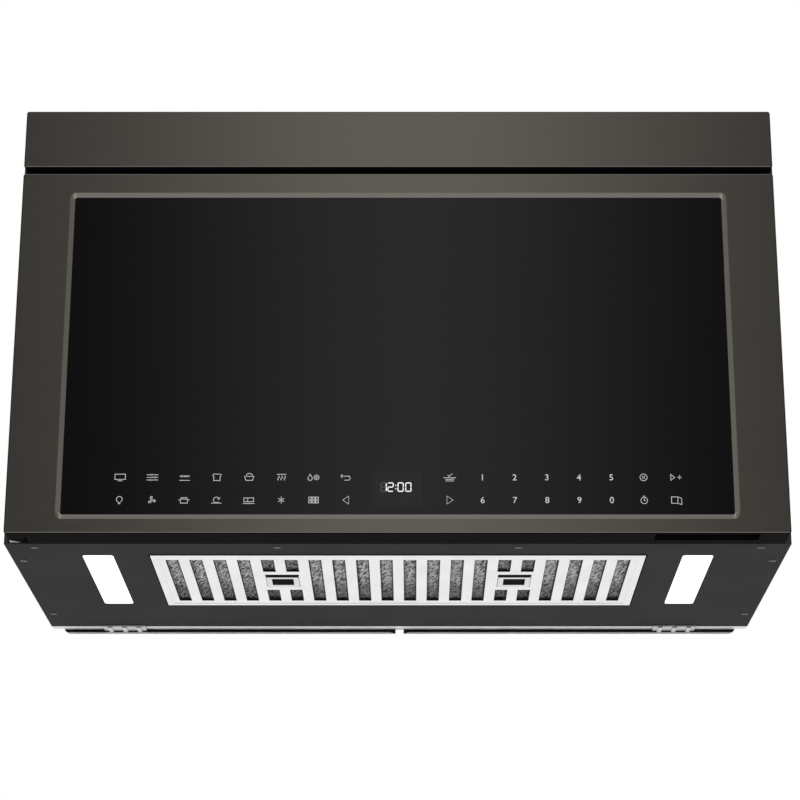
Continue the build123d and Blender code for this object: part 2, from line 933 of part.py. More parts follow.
# ================================================================ oven cavity
rear_air_at = (cavity_x, (cavity_floor + cavity_ceiling) / 2)
broil_leg_x = around(cavity_x, broil_leg_half)
broil_bar_x = around(cavity_x, broil_bar_half)
broil_z = cavity_ceiling - broil_drop
with BuildPart() as cavity_liner:
    block((liner_left, liner_right), (frame_back_y, liner_back_y), (liner_bottom, liner_top))
    block(
        (liner_left - liner_flange, liner_right + liner_flange),
        (frame_back_y, frame_back_y + liner_sheet),
        (liner_bottom - liner_flange, liner_top + liner_flange),
    )
    block(
        (cavity_left, cavity_right),
        (frame_back_y, cavity_back_y),
        (cavity_floor, cavity_ceiling),
        Mode.SUBTRACT,
    )
    rod(shaft_hole, "Z", (cavity_x, cavity_y), (liner_bottom, cavity_floor), Mode.SUBTRACT)
    block(
        (cavity_right, liner_right),
        around(guide_y, port_width / 2),
        (port_bottom, port_bottom + port_height),
        Mode.SUBTRACT,
    )
    with BuildSketch(Plane.XZ.offset(-cavity_back_y)) as air_holes:
        for ring in range(air_ring_count):
            with Locations(rear_air_at):
                with PolarLocations(ring * air_ring_step, max(1, ring * air_ring_holes)):
                    Circle(air_hole)
        with Locations(rear_air_at):
            with PolarLocations(outlet_ring, outlet_holes):
                Circle(air_hole)
        with Locations(*((x, broil_z) for x in broil_leg_x)):
            Circle(broil_wire + clear)
    extrude(air_holes.sketch, amount=-liner_sheet, mode=Mode.SUBTRACT)
save(cavity_liner, "cavity_liner")

with BuildPart() as waveguide_cover:
    block(
        (cavity_right - port_cover_sheet, cavity_right),
        around(guide_y, port_width / 2 + port_cover_lap),
        (port_bottom - port_cover_lap, port_bottom + port_height + port_cover_lap),
    )
save(waveguide_cover, "waveguide_cover")

with BuildPart() as broil_element:
    loop_y = frame_back_y + broil_loop_setback
    bar_y = frame_back_y + broil_front_setback
    tail_y = liner_back_y + broil_tail
    with BuildLine() as broil_path:
        FilletPolyline(
            (broil_leg_x[0], tail_y, broil_z),
            (broil_leg_x[0], loop_y, broil_z),
            (broil_bar_x[0], loop_y, broil_z),
            (broil_bar_x[0], bar_y, broil_z),
            (broil_bar_x[1], bar_y, broil_z),
            (broil_bar_x[1], loop_y, broil_z),
            (broil_leg_x[1], loop_y, broil_z),
            (broil_leg_x[1], tail_y, broil_z),
            radius=broil_bend,
        )
    with BuildSketch(Plane(broil_path.line @ 0, z_dir=broil_path.line % 0)):
        Circle(broil_wire)
    sweep()
save(broil_element, "broil_element")

# ================================================================ turntable
roller_z = cavity_floor + clear + roller_radius
tray_z = roller_z + roller_radius + clear
with BuildPart() as turntable_motor:
    rod(drive_radius, "Z", (cavity_x, cavity_y), (liner_bottom - drive_height, liner_bottom))
    for hand in hands.values():
        block(
            around(cavity_x + hand * drive_radius, drive_ear),
            around(cavity_y, drive_ear / 2),
            (liner_bottom - wrap_sheet, liner_bottom),
        )
    rod(drive_shaft, "Z", (cavity_x, cavity_y), (liner_bottom, tray_z - coupler_height / 2))
save(turntable_motor, "turntable_motor")

with BuildPart() as turntable_coupler:
    coupler_bottom = cavity_floor + clear
    coupler_top = tray_z - clear
    rod(coupler_radius, "Z", (cavity_x, cavity_y), (coupler_bottom, coupler_top))
    with Locations((cavity_x, cavity_y, (coupler_bottom + coupler_top) / 2)):
        with PolarLocations(coupler_wing / 2, roller_count):
            Box(coupler_wing, coupler_wing_width, coupler_top - coupler_bottom)
    rod(
        drive_shaft + running,
        "Z",
        (cavity_x, cavity_y),
        (coupler_bottom, tray_z - coupler_height / 2 + running),
        Mode.SUBTRACT,
    )
save(turntable_coupler, "turntable_coupler")

with BuildPart() as turntable_tray:
    rod(tray_radius, "Z", (cavity_x, cavity_y), (tray_z, tray_z + tray_rim))
    rod(
        tray_radius - tray_rim_width,
        "Z",
        (cavity_x, cavity_y),
        (tray_z + tray_thick, tray_z + tray_rim),
        Mode.SUBTRACT,
    )
    top_edges = turntable_tray.edges().filter_by(GeomType.CIRCLE).group_by(Axis.Z)
    fillet(top_edges[-1], tray_edge_radius)
    fillet(top_edges[0], tray_edge_radius)
save(turntable_tray, "turntable_tray")

with BuildPart() as roller_ring:
    ring_z = around(roller_z, ring_thick / 2)
    rod(ring_outer, "Z", (cavity_x, cavity_y), ring_z)
    rod(ring_inner, "Z", (cavity_x, cavity_y), ring_z, Mode.SUBTRACT)
    axle_out = roller_track + roller_width / 2 + clear
    with Locations((cavity_x, cavity_y, roller_z)):
        with PolarLocations((ring_inner + axle_out) / 2, roller_count, first_roller_angle):
            Cylinder(axle_radius, axle_out - ring_inner, rotation=(0, 90, 0))
    rod(ring_inner, "Z", (cavity_x, cavity_y), around(roller_z, ring_thick), Mode.SUBTRACT)
save(roller_ring, "roller_ring")

for number in range(roller_count):
    angle = math.radians(first_roller_angle) + number * math.tau / roller_count
    hub = Plane(
        origin=(
            cavity_x + roller_track * math.cos(angle),
            cavity_y + roller_track * math.sin(angle),
            roller_z,
        ),
        z_dir=(math.cos(angle), math.sin(angle), 0),
    )
    with BuildPart() as roller:
        with BuildSketch(hub):
            Circle(roller_radius)
            Circle(axle_radius + running, mode=Mode.SUBTRACT)
        extrude(amount=roller_width / 2, both=True)
    save(roller, f"roller_{number + 1}")

# ================================================================ convection fan and heater
air_x, air_z = rear_air_at
housing_back_y = liner_back_y + housing_depth
heater_y = liner_back_y + heater_setback
with BuildPart() as convection_housing:
    rod(housing_radius, "Y", rear_air_at, (liner_back_y, housing_back_y))
    rod(
        housing_radius + housing_flange,
        "Y",
        rear_air_at,
        (liner_back_y, liner_back_y + housing_sheet),
    )
    rod(
        housing_radius - housing_sheet,
        "Y",
        rear_air_at,
        (liner_back_y, housing_back_y - housing_sheet),
        Mode.SUBTRACT,
    )
    rod(
        fan_hub,
        "Y",
        rear_air_at,
        (housing_back_y - housing_sheet, housing_back_y),
        Mode.SUBTRACT,
    )
    for hand in hands.values():
        rod(
            heater_wire + clear,
            "Y",
            (air_x + hand * heater_leg_spread, air_z - heater_ring),
            (housing_back_y - housing_sheet, housing_back_y),
            Mode.SUBTRACT,
        )
save(convection_housing, "convection_housing")

with BuildPart() as convection_heater:
    with BuildSketch(Plane.XY.offset(air_z)):
        with Locations((air_x + heater_ring, heater_y)):
            Circle(heater_wire)
    revolve(axis=Axis((air_x, heater_y, air_z), (0, -1, 0)), revolution_arc=360)
    for hand in hands.values():
        rod(
            heater_wire,
            "Y",
            (air_x + hand * heater_leg_spread, air_z - heater_ring),
            (heater_y, housing_back_y + heater_wire),
        )
save(convection_heater, "convection_heater")

with BuildPart() as convection_fan:
    fan_y = (liner_back_y + fan_setback - fan_depth, liner_back_y + fan_setback)
    rod(fan_hub, "Y", rear_air_at, fan_y)
    rod(fan_radius, "Y", rear_air_at, (fan_y[1] - fan_blade_sheet, fan_y[1]))
    with Locations(Plane(origin=(air_x, sum(fan_y) / 2, air_z), z_dir=(0, 1, 0))):
        with PolarLocations((fan_radius - fan_rim + fan_hub / 2) / 2, fan_blades):
            Box(fan_radius - fan_rim - fan_hub / 2, fan_blade_sheet, fan_depth)
    rod(fan_shaft, "Y", rear_air_at, (fan_y[1], housing_back_y + motor_depth / 2))
save(convection_fan, "convection_fan")

with BuildPart() as convection_motor:
    rod(motor_radius, "Y", rear_air_at, (housing_back_y, housing_back_y + motor_depth))
    rod(
        fan_shaft + running,
        "Y",
        rear_air_at,
        (housing_back_y, housing_back_y + motor_depth / 2 + clear),
        Mode.SUBTRACT,
    )
save(convection_motor, "convection_motor")

# ================================================================ microwave source
guide_right = liner_right + guide_depth
guide_y_limits = around(guide_y, guide_width / 2)
with BuildPart() as waveguide:
    block((liner_right, guide_right), guide_y_limits, (guide_bottom, guide_top))
    block(
        (liner_right + guide_sheet, guide_right - guide_sheet),
        around(guide_y, guide_width / 2 - guide_sheet),
        (guide_bottom + guide_sheet, guide_top - guide_sheet),
        Mode.SUBTRACT,
    )
    block(
        (liner_right, liner_right + guide_sheet),
        around(guide_y, port_width / 2),
        (port_bottom, port_bottom + port_height),
        Mode.SUBTRACT,
    )
    rod(
        antenna_radius + antenna_spare,
        "X",
        (guide_y, antenna_z),
        (guide_right - guide_sheet, guide_right),
        Mode.SUBTRACT,
    )
save(waveguide, "waveguide")

with BuildPart() as magnetron:
    yoke_x = (guide_right, guide_right + yoke_length)
    yoke_y = around(guide_y, yoke_width / 2)
    yoke_z = around(antenna_z, yoke_height / 2)
    block(yoke_x, yoke_y, yoke_z)
    block(
        (yoke_x[0] + yoke_sheet, yoke_x[1] - yoke_sheet),
        yoke_y,
        (yoke_z[0] + yoke_sheet, yoke_z[1] - yoke_sheet),
        Mode.SUBTRACT,
    )
    rod(tube_radius, "X", (guide_y, antenna_z), yoke_x)
    rod(antenna_radius, "X", (guide_y, antenna_z), (guide_right - antenna_length, guide_right))
    fin_pitch = (yoke_length - 2 * yoke_sheet) / (fin_count + 1)
    for number in range(fin_count):
        fin_x = yoke_x[0] + yoke_sheet + fin_pitch * (number + 1)
        block(
            around(fin_x, fin_sheet / 2),
            around(guide_y, yoke_width / 2 - fin_margin),
            yoke_z,
        )
    block(
        (yoke_x[1], yoke_x[1] + filter_box_length),
        around(guide_y, yoke_width / 2 - filter_box_inset),
        around(antenna_z, yoke_height / 2 - filter_box_inset),
    )
save(magnetron, "magnetron")

with BuildPart() as inverter_supply:
    supply_front_y = frame_back_y + supply_setback
    supply_board_z = shelf_top + supply_lift
    board_x = (cavity_right + supply_inset, cavity_right + supply_inset + supply_width)
    board_y = (supply_front_y, supply_front_y + supply_length)
    block(board_x, board_y, (supply_board_z, supply_board_z + board_sheet))
    with Locations((sum(board_x) / 2, sum(board_y) / 2, shelf_top + supply_lift / 2)):
        with GridLocations(
            supply_width - 2 * supply_post_inset, supply_length - 2 * supply_post_inset, 2, 2
        ):
            Cylinder(supply_post, supply_lift)
    part_z = supply_board_z + board_sheet
    block(
        (board_x[0], board_x[0] + sink_width),
        board_y,
        (part_z, part_z + sink_base),
    )
    with Locations((board_x[0] + sink_width / 2, sum(board_y) / 2, part_z + sink_height / 2)):
        with GridLocations((sink_width - sink_fin_sheet) / (sink_fins - 1), 1, sink_fins, 1):
            Box(sink_fin_sheet, supply_length, sink_height)
    core_x = board_x[1] - supply_core
    core_y = board_y[0] + supply_core
    block(
        around(core_x, supply_core / 2),
        around(core_y, supply_core / 2),
        (part_z, part_z + supply_core),
    )
    rod(
        supply_winding,
        "Z",
        (core_x, core_y),
        (part_z + supply_winding_inset, part_z + supply_core - supply_winding_inset),
    )
    for number in range(supply_can_count):
        rod(
            supply_can,
            "Z",
            (
                board_x[1] - supply_can_inset - supply_can_pitch * number,
                board_y[1] - supply_can_inset,
            ),
            (part_z, part_z + supply_can_height),
        )
save(inverter_supply, "inverter_supply")

with BuildPart() as power_board:
    wall_x = inner_side
    power_y = (frame_back_y + power_board_setback, frame_back_y + power_board_setback + power_board_length)
    power_z = (power_board_bottom, power_board_bottom + power_board_height)
    power_face = wall_x - power_board_lift - board_sheet
    block((power_face, power_face + board_sheet), power_y, power_z)
    for y in (power_y[0] + supply_can, power_y[1] - supply_can):
        for z in (power_z[0] + supply_can, power_z[1] - supply_can):
            rod(supply_post, "X", (y, z), (power_face + board_sheet, wall_x))
    for number in range(relay_count):
        middle = power_y[0] + relay_pitch * (number + 1)
        block(
            (power_face - relay_height, power_face),
            around(middle, relay_size / 2),
            around(power_z[1] - relay_pitch, relay_size / 2),
        )
    block(
        (power_face - relay_height, power_face),
        around(sum(power_y) / 2, relay_pitch),
        around(power_z[0] + relay_pitch, relay_size),
    )
save(power_board, "power_board")

# ================================================================ cooling fan
shroud_x = side - shroud_inset
shroud_y = (rear_inner_y - shroud_depth, rear_inner_y)
with BuildPart() as cooling_fan_shroud:
    block(around(shroud_x, shroud_size / 2), shroud_y, around(shroud_z, shroud_size / 2))
    rod(
        shroud_size / 2 - shroud_wall,
        "Y",
        (shroud_x, shroud_z),
        shroud_y,
        Mode.SUBTRACT,
    )
    spider_y = (shroud_y[1] - spider_depth, shroud_y[1])
    rod(blade_hub, "Y", (shroud_x, shroud_z), spider_y)
    with Locations(Plane(origin=(shroud_x, sum(spider_y) / 2, shroud_z), z_dir=(0, 1, 0))):
        with PolarLocations(shroud_size / 4, spider_count, spider_angle):
            Box(shroud_size / 2 - shroud_wall / 2, spider_width, spider_depth)
    rod(
        blade_shaft + running,
        "Y",
        (shroud_x, shroud_z),
        (spider_y[0], spider_y[1] - clear),
        Mode.SUBTRACT,
    )
save(cooling_fan_shroud, "cooling_fan_shroud")

with BuildPart() as cooling_fan_blade:
    rotor_y = (shroud_y[0], spider_y[0] - clear)
    rod(blade_hub, "Y", (shroud_x, shroud_z), rotor_y)
    blade_length = blade_radius - blade_hub / 2
    blade_chord_fit = min(blade_chord, (rotor_y[1] - rotor_y[0]) / math.sin(math.radians(blade_pitch)))
    with Locations(Plane(origin=(shroud_x, sum(rotor_y) / 2, shroud_z), z_dir=(0, 1, 0))):
        with PolarLocations(blade_radius - blade_length / 2, blade_count):
            Box(
                blade_length,
                blade_chord_fit - 2 * blade_sheet,
                blade_sheet,
                rotation=(blade_pitch, 0, 0),
            )
    rod(blade_shaft, "Y", (shroud_x, shroud_z), (rotor_y[1], spider_y[1] - 2 * clear))
save(cooling_fan_blade, "cooling_fan_blade")

# ================================================================ interlock and door opener
with BuildPart() as interlock_bracket:
    guard_z = (hook_heights[0] - interlock_margin, hook_heights[1] + interlock_margin)
    guard_x = (latch_x + interlock_width / 2 - interlock_width, latch_x + interlock_width / 2)
    block(
        guard_x,
        (frame_back_y, frame_back_y + interlock_depth),
        guard_z,
    )
    for height in hook_heights:
        block(
            latch_slot_x,
            (frame_back_y, frame_back_y + interlock_depth - interlock_wall),
            (
                height - hook_arm_height / 2 - hook_nose - hook_slot_end,
                height + hook_arm_height / 2 + hook_travel + hook_slot_end,
            ),
            Mode.SUBTRACT,
        )
save(interlock_bracket, "interlock_bracket")

with BuildPart() as interlock_switches:
    for height in switch_heights:
        block(
            (guard_x[0] - switch_size[0], guard_x[0]),
            (frame_back_y + interlock_wall, frame_back_y + interlock_wall + switch_size[1]),
            around(height, switch_size[2] / 2),
        )
save(interlock_switches, "interlock_switches")

plunger_front_y = door_back_y + plunger_tip + plunger_travel
with BuildPart() as opener_motor:
    block(
        around(opener_x, opener_size / 2),
        (frame_back_y, frame_back_y + opener_length),
        around(opener_z, opener_size / 2),
    )
    rod(
        plunger_head_radius + clear,
        "Y",
        (opener_x, opener_z),
        (frame_back_y, plunger_front_y + plunger_head + clear),
        Mode.SUBTRACT,
    )
    rod(
        plunger_radius + running,
        "Y",
        (opener_x, opener_z),
        (frame_back_y, plunger_front_y + plunger_length + clear),
        Mode.SUBTRACT,
    )
save(opener_motor, "opener_motor")

with BuildPart() as opener_plunger:
    rod(
        plunger_radius,
        "Y",
        (opener_x, opener_z),
        (plunger_front_y, plunger_front_y + plunger_length),
    )
    rod(
        plunger_head_radius,
        "Y",
        (opener_x, opener_z),
        (plunger_front_y, plunger_front_y + plunger_head),
    )
save(opener_plunger, "opener_plunger")

# ================================================================ door hinge brackets
with BuildPart() as hinge_brackets:
    for arm, upward in ((lower_arm, 1), (upper_arm, -1)):
        with BuildSketch(Plane.XY.offset(arm[0])) as arm_outline:
            with Locations((hinge_x, hinge_y)):
                Circle(arm_half_width)
            with Locations((hinge_x, (hinge_y + frame_back_y + bracket_sheet) / 2)):
                Rectangle(2 * arm_half_width, frame_back_y + bracket_sheet - hinge_y)
        extrude(arm_outline.sketch, amount=arm_sheet)
        arm_far = arm[0] if upward > 0 else arm[1]
        upright = sorted((arm_far, arm_far + upward * bracket_height))
        block(
            around(hinge_x, arm_half_width),
            (frame_back_y, frame_back_y + bracket_sheet),
            upright,
        )
        pin_start = arm[1] if upward > 0 else arm[0]
        rod(pin_radius, "Z", (hinge_x, hinge_y), sorted((pin_start, pin_start + upward * bush_length)))
save(hinge_brackets, "hinge_brackets")

# ================================================================ door skin
glass_front_y = front_y + skin_sheet
glass_back_y = glass_front_y + glass_thick
window_center = (0, (window_bottom + window_top) / 2)
window_height = window_top - window_bottom
with BuildPart() as door_skin:
    block((-door_side, door_side), (front_y, front_y + skin_return), (0, door_height))
    fillet(door_skin.edges().filter_by(Axis.Y), skin_corner_radius)
    fillet(door_skin.faces().sort_by(Axis.Y)[0].edges(), skin_edge_radius)
    block(
        (skin_sheet - door_side, door_side - skin_sheet),
        (front_y + skin_sheet, front_y + skin_return),
        (skin_sheet, door_height - skin_sheet),
        Mode.SUBTRACT,
    )
    with BuildSketch(Plane.XZ.offset(-front_y)) as bevel_outer:
        with Locations(window_center):
            RectangleRounded(
                2 * (window_half_width + bevel), window_height + 2 * bevel, window_corner + bevel
            )
    with BuildSketch(Plane.XZ.offset(-glass_front_y)) as bevel_inner:
        with Locations(window_center):
            RectangleRounded(2 * window_half_width, window_height, window_corner)
    loft([bevel_outer.sketch.face(), bevel_inner.sketch.face()], mode=Mode.SUBTRACT)
save(door_skin, "door_skin")

with BuildPart() as door_glass:
    block(
        around(0, window_half_width + glass_lap),
        (glass_front_y, glass_back_y),
        (window_bottom - glass_lap, window_top + glass_lap),
    )
save(door_glass, "door_glass")

# ================================================================ door shell with the finger pocket
shell_front_y = front_y + skin_return
face_back_y = glass_back_y + shell_face
boss_radius = pin_radius + running + bush_wall + boss_wall
notch_top = lower_arm[1] + arm_lift
notch_low = upper_arm[0] - arm_lift
arm_notch_x = (-door_side, hinge_x + arm_half_width + arm_notch_spare)
arm_notch_y = (hinge_y - arm_half_width - arm_notch_spare, door_back_y)
touch_half_width = window_half_width - touch_inset
pocket_right = door_side - pocket_inset
pocket_left = pocket_right - pocket_width
pocket_y = (front_y + pocket_front_depth, front_y + pocket_back_depth)
pocket_upper_y = (front_y + pocket_upper_depth, front_y + pocket_back_depth)


def round_hinge_corner(bottom, top):
    """Cuts the corner behind the hinge to an arc round the pin, so that it clears the front frame."""
    with BuildSketch(Plane.XY.offset(bottom)) as corner:
        with Locations((hinge_x - hinge_sweep, hinge_y + hinge_sweep)):
            Rectangle(2 * hinge_sweep, 2 * hinge_sweep)
        with Locations((hinge_x, hinge_y)):
            Circle(hinge_sweep, mode=Mode.SUBTRACT)
        with Locations((hinge_x, hinge_y - hinge_sweep / 2)):
            Rectangle(4 * hinge_sweep, hinge_sweep, mode=Mode.SUBTRACT)
    extrude(corner.sketch, amount=top - bottom, mode=Mode.SUBTRACT)


with BuildPart() as door_shell:
    block((-door_side, door_side), (shell_front_y, door_back_y), (0, door_height))
    fillet(door_shell.edges().filter_by(Axis.Y), skin_corner_radius)
    block(
        (skin_sheet - door_side, door_side - skin_sheet),
        (glass_front_y, shell_front_y),
        (skin_sheet, door_height - skin_sheet),
    )
    block(
        (shell_wall - door_side, door_side - shell_wall),
        (face_back_y, door_back_y),
        (shell_wall, door_height - shell_wall),
        Mode.SUBTRACT,
    )
    block(
        around(0, window_half_width + glass_lap),
        (glass_front_y, glass_back_y),
        (window_bottom - glass_lap, window_top + glass_lap),
        Mode.SUBTRACT,
    )
    block(
        (sight_left, sight_right),
        (glass_back_y, face_back_y),
        (sight_bottom, sight_top),
        Mode.SUBTRACT,
    )
    block(
        around(0, touch_half_width + clear),
        (glass_back_y, face_back_y),
        (touch_bottom - clear, touch_top + clear),
        Mode.SUBTRACT,
    )
    block(
        (pocket_left - pocket_wall, pocket_right + pocket_wall),
        (face_back_y, pocket_y[1] + pocket_wall),
        (shell_wall, pocket_height + pocket_wall),
    )
    for height in (notch_top, notch_low - bush_length):
        rod(boss_radius, "Z", (hinge_x, hinge_y), (height, height + bush_length))
    block(
        (skin_sheet - door_side, hinge_x),
        around(hinge_y, boss_wall),
        (notch_top, notch_top + bush_length),
    )
    block(
        (skin_sheet - door_side, hinge_x),
        around(hinge_y, boss_wall),
        (notch_low - bush_length, notch_low),
    )
    rod(
        boss_radius - boss_wall,
        "Z",
        (hinge_x, hinge_y),
        (0, door_height),
        Mode.SUBTRACT,
    )
    block((pocket_left, pocket_right), pocket_y, (0, pocket_low_height), Mode.SUBTRACT)
    block((pocket_left, pocket_right), pocket_upper_y, (0, pocket_height), Mode.SUBTRACT)
    block(arm_notch_x, arm_notch_y, (0, notch_top), Mode.SUBTRACT)
    block(arm_notch_x, arm_notch_y, (notch_low, door_height), Mode.SUBTRACT)
    round_hinge_corner(0, door_height)
    block(
        around(latch_x, spring_radius + clear),
        (face_back_y, door_back_y - back_sheet),
        (spring_seat_z - spring_seat_height, spring_seat_z),
    )
save(door_shell, "door_shell")

with BuildPart() as hinge_bushes:
    for bottom in (notch_top, notch_low - bush_length):
        rod(boss_radius - boss_wall - press, "Z", (hinge_x, hinge_y), (bottom, bottom + bush_length))
        rod(
            pin_radius + running,
            "Z",
            (hinge_x, hinge_y),
            (bottom, bottom + bush_length),
            Mode.SUBTRACT,
        )
save(hinge_bushes, "hinge_bushes")

# ================================================================ door back, screen and inner glass
with BuildPart() as door_back:
    block(
        (shell_wall + clear - door_side, door_side - shell_wall - clear),
        (door_back_y - back_sheet, door_back_y),
        (shell_wall + clear, door_height - shell_wall - clear),
    )
    choke_x = (cavity_left - choke_width, cavity_right + choke_width)
    choke_z = (cavity_floor - choke_width, cavity_ceiling + choke_width)
    choke_y = (door_back_y - back_sheet - choke_depth, door_back_y - back_sheet)
    block(choke_x, choke_y, choke_z)
    block(
        (choke_x[0] + choke_wall, choke_x[1] - choke_wall),
        choke_y,
        (choke_z[0] + choke_wall, choke_z[1] - choke_wall),
        Mode.SUBTRACT,
    )
    block(
        (sight_left, sight_right),
        (door_back_y - back_sheet, door_back_y),
        (sight_bottom, sight_top),
        Mode.SUBTRACT,
    )
    for height in hook_heights:
        block(
            latch_slot_x,
            (door_back_y - back_sheet, door_back_y),
            (
                height - hook_arm_height / 2 - hook_nose - hook_slot_end,
                height + hook_arm_height / 2 + hook_travel + hook_slot_end,
            ),
            Mode.SUBTRACT,
        )
    block(
        (-door_side, hinge_x + arm_half_width + arm_notch_spare),
        (door_back_y - back_sheet, door_back_y),
        (0, notch_top),
        Mode.SUBTRACT,
    )
    block(
        (-door_side, hinge_x + arm_half_width + arm_notch_spare),
        (door_back_y - back_sheet, door_back_y),
        (notch_low, door_height),
        Mode.SUBTRACT,
    )
    for bottom in (notch_top, notch_low - bush_length):
        rod(
            boss_radius + clear,
            "Z",
            (hinge_x, hinge_y),
            (bottom - clear, bottom + bush_length + clear),
            Mode.SUBTRACT,
        )
    round_hinge_corner(0, door_height)
save(door_back, "door_back")

glass_seat_y = door_back_y - inner_glass_thick
with BuildPart() as door_inner_glass:
    block(
        (sight_left + clear, sight_right - clear),
        (glass_seat_y, door_back_y),
        (sight_bottom + clear, sight_top - clear),
    )
save(door_inner_glass, "door_inner_glass")

with BuildPart() as door_screen:
    screen_y = (glass_seat_y - screen_sheet, glass_seat_y)
    screen_x = (sight_left - screen_margin, sight_right + screen_margin)
    screen_z = (sight_bottom - screen_margin, sight_top + screen_margin)
    block(screen_x, screen_y, screen_z)
    columns = int((sight_right - sight_left) / screen_pitch)
    rows = int((sight_top - sight_bottom) / screen_pitch)
    with BuildSketch(Plane.XZ.offset(-screen_y[0])) as screen_holes:
        with Locations((sum(screen_x) / 2, sum(screen_z) / 2)):
            with GridLocations(screen_pitch, screen_pitch, columns, rows):
                Circle(screen_hole)
    extrude(screen_holes.sketch, amount=-screen_sheet, mode=Mode.SUBTRACT)
save(door_screen, "door_screen")

# ================================================================ touch keys and display
with BuildPart() as touch_board:
    block(
        around(0, touch_half_width),
        (glass_back_y, glass_back_y + board_sheet),
        (touch_bottom, touch_top),
    )
save(touch_board, "touch_board")

with BuildPart() as display_module:
    display_y = glass_back_y + board_sheet
    block(
        around(0, display_half_width),
        (display_y, display_y + display_thick),
        (display_bottom, display_top),
    )
save(display_module, "display_module")

# ================================================================ door latch bar and spring
with BuildPart() as latch_bar:
    bar_back_y = door_back_y - back_sheet - clear
    bar_x = around(latch_x, hook_bar_sheet / 2)
    block(bar_x, (bar_back_y - hook_bar_depth, bar_back_y), (hook_bar_bottom, hook_bar_top))
    for height in hook_heights:
        arm_z = around(height, hook_arm_height / 2)
        arm_end_y = door_back_y + hook_arm_reach
        block(bar_x, (bar_back_y, arm_end_y), arm_z)
        block(bar_x, (arm_end_y - hook_nose_length, arm_end_y), (arm_z[0] - hook_nose, arm_z[0]))
save(latch_bar, "latch_bar")

with BuildPart() as latch_spring:
    spring_length = hook_bar_bottom - spring_seat_z - 2 * (clear + spring_wire)
    spring_plane = Plane((latch_x, bar_back_y - hook_bar_depth / 2, spring_seat_z + clear + spring_wire))
    with BuildLine(spring_plane) as coil:
        Helix(pitch=spring_length / spring_turns, height=spring_length, radius=spring_radius - spring_wire)
    with BuildSketch(Plane(coil.line @ 0, z_dir=coil.line % 0)):
        Circle(spring_wire)
    sweep()
save(latch_spring, "latch_spring")

# ================================================================ vent blower
blower_at = (blower_y, blower_axis_z)
with BuildPart() as blower_housing:
    for hand in hands.values():
        outer = mirrored((scroll_inner_x, scroll_inner_x + scroll_width), hand)
        rod(scroll_radius, "X", blower_at, outer)
        block(outer, around(blower_y, scroll_outlet / 2), (blower_axis_z, roof_z))
    for hand in hands.values():
        outer = mirrored((scroll_inner_x, scroll_inner_x + scroll_width), hand)
        inner = (outer[0] + scroll_sheet, outer[1] - scroll_sheet)
        rod(scroll_radius - scroll_sheet, "X", blower_at, inner, Mode.SUBTRACT)
        outlet_y = around(blower_y, scroll_outlet / 2 - scroll_sheet)
        block(inner, outlet_y, (blower_axis_z, roof_z), Mode.SUBTRACT)
        rod(intake_radius, "X", blower_at, outer, Mode.SUBTRACT)
    cradle_top = blower_axis_z - blower_motor_radius - clear
    block(
        around(0, scroll_inner_x),
        around(blower_y, cradle_width / 2),
        (cradle_top - cradle_sheet, cradle_top),
    )
save(blower_housing, "blower_housing")

with BuildPart() as blower_motor:
    rod(blower_motor_radius, "X", blower_at, around(0, blower_motor_length / 2))
    chamfer(blower_motor.edges().filter_by(GeomType.CIRCLE), blower_motor_chamfer)
    rod(
        blower_shaft_radius + running,
        "X",
        blower_at,
        around(0, blower_motor_length / 2),
        Mode.SUBTRACT,
    )
save(blower_motor, "blower_motor")

wheel_center = scroll_inner_x + scroll_width / 2
with BuildPart() as blower_shaft:
    rod(blower_shaft_radius, "X", blower_at, around(0, wheel_center + wheel_width / 2))
save(blower_shaft, "blower_shaft")

with BuildPart() as blower_wheels:
    for hand in hands.values():
        wheel_x = around(hand * wheel_center, wheel_width / 2)
        disc_x = around(hand * wheel_center, wheel_ring_sheet / 2)
        rod(wheel_radius, "X", blower_at, disc_x)
        for ring_x in (
            (wheel_x[0], wheel_x[0] + wheel_ring_sheet),
            (wheel_x[1] - wheel_ring_sheet, wheel_x[1]),
        ):
            rod(wheel_radius, "X", blower_at, ring_x)
            rod(wheel_radius - wheel_vane_depth, "X", blower_at, ring_x, Mode.SUBTRACT)
        rod(wheel_hub, "X", blower_at, wheel_x)
        with Locations(Plane(origin=(hand * wheel_center, *blower_at), z_dir=(1, 0, 0))):
            with PolarLocations(wheel_radius - wheel_vane_depth / 2, wheel_vanes):
                Box(wheel_vane_depth - 2 * wheel_vane_sheet, wheel_vane_sheet, wheel_width)
        rod(blower_shaft_radius + press, "X", blower_at, wheel_x, Mode.SUBTRACT)
save(blower_wheels, "blower_wheels")

# ================================================================ exhaust adapter and damper
collar_base = top_z + duct_flange_sheet
collar_top = top_z + duct_height
flap_pin_y = blower_y + duct_length / 2 - flap_pin_inset
flap_z = top_z + flap_pin_lift
with BuildPart() as exhaust_adapter:
    block(
        around(0, duct_width / 2 + duct_flange),
        around(blower_y, duct_length / 2 + duct_flange),
        (top_z, collar_base),
    )
    block(around(0, duct_width / 2), around(blower_y, duct_length / 2), (collar_base, collar_top))
    block(duct_x, duct_y, (top_z, collar_top), Mode.SUBTRACT)
    block(
        around(0, flap_stop_width / 2),
        (duct_y[0], duct_y[0] + flap_stop_reach),
        (
            flap_z - flap_sheet / 2 - clear - flap_stop_sheet,
            flap_z - flap_sheet / 2 - clear,
        ),
    )
    rod(
        flap_pin + running,
        "X",
        (flap_pin_y, flap_z),
        around(0, duct_width / 2),
        Mode.SUBTRACT,
    )
save(exhaust_adapter, "exhaust_adapter")

with BuildPart() as damper_flap:
    rod(flap_pin, "X", (flap_pin_y, flap_z), around(0, duct_width / 2))
    block(
        around(0, duct_width / 2 - duct_sheet - 2 * clear),
        (duct_y[0] + 2 * clear, flap_pin_y),
        around(flap_z, flap_sheet / 2),
    )
save(damper_flap, "damper_flap")
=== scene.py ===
import math

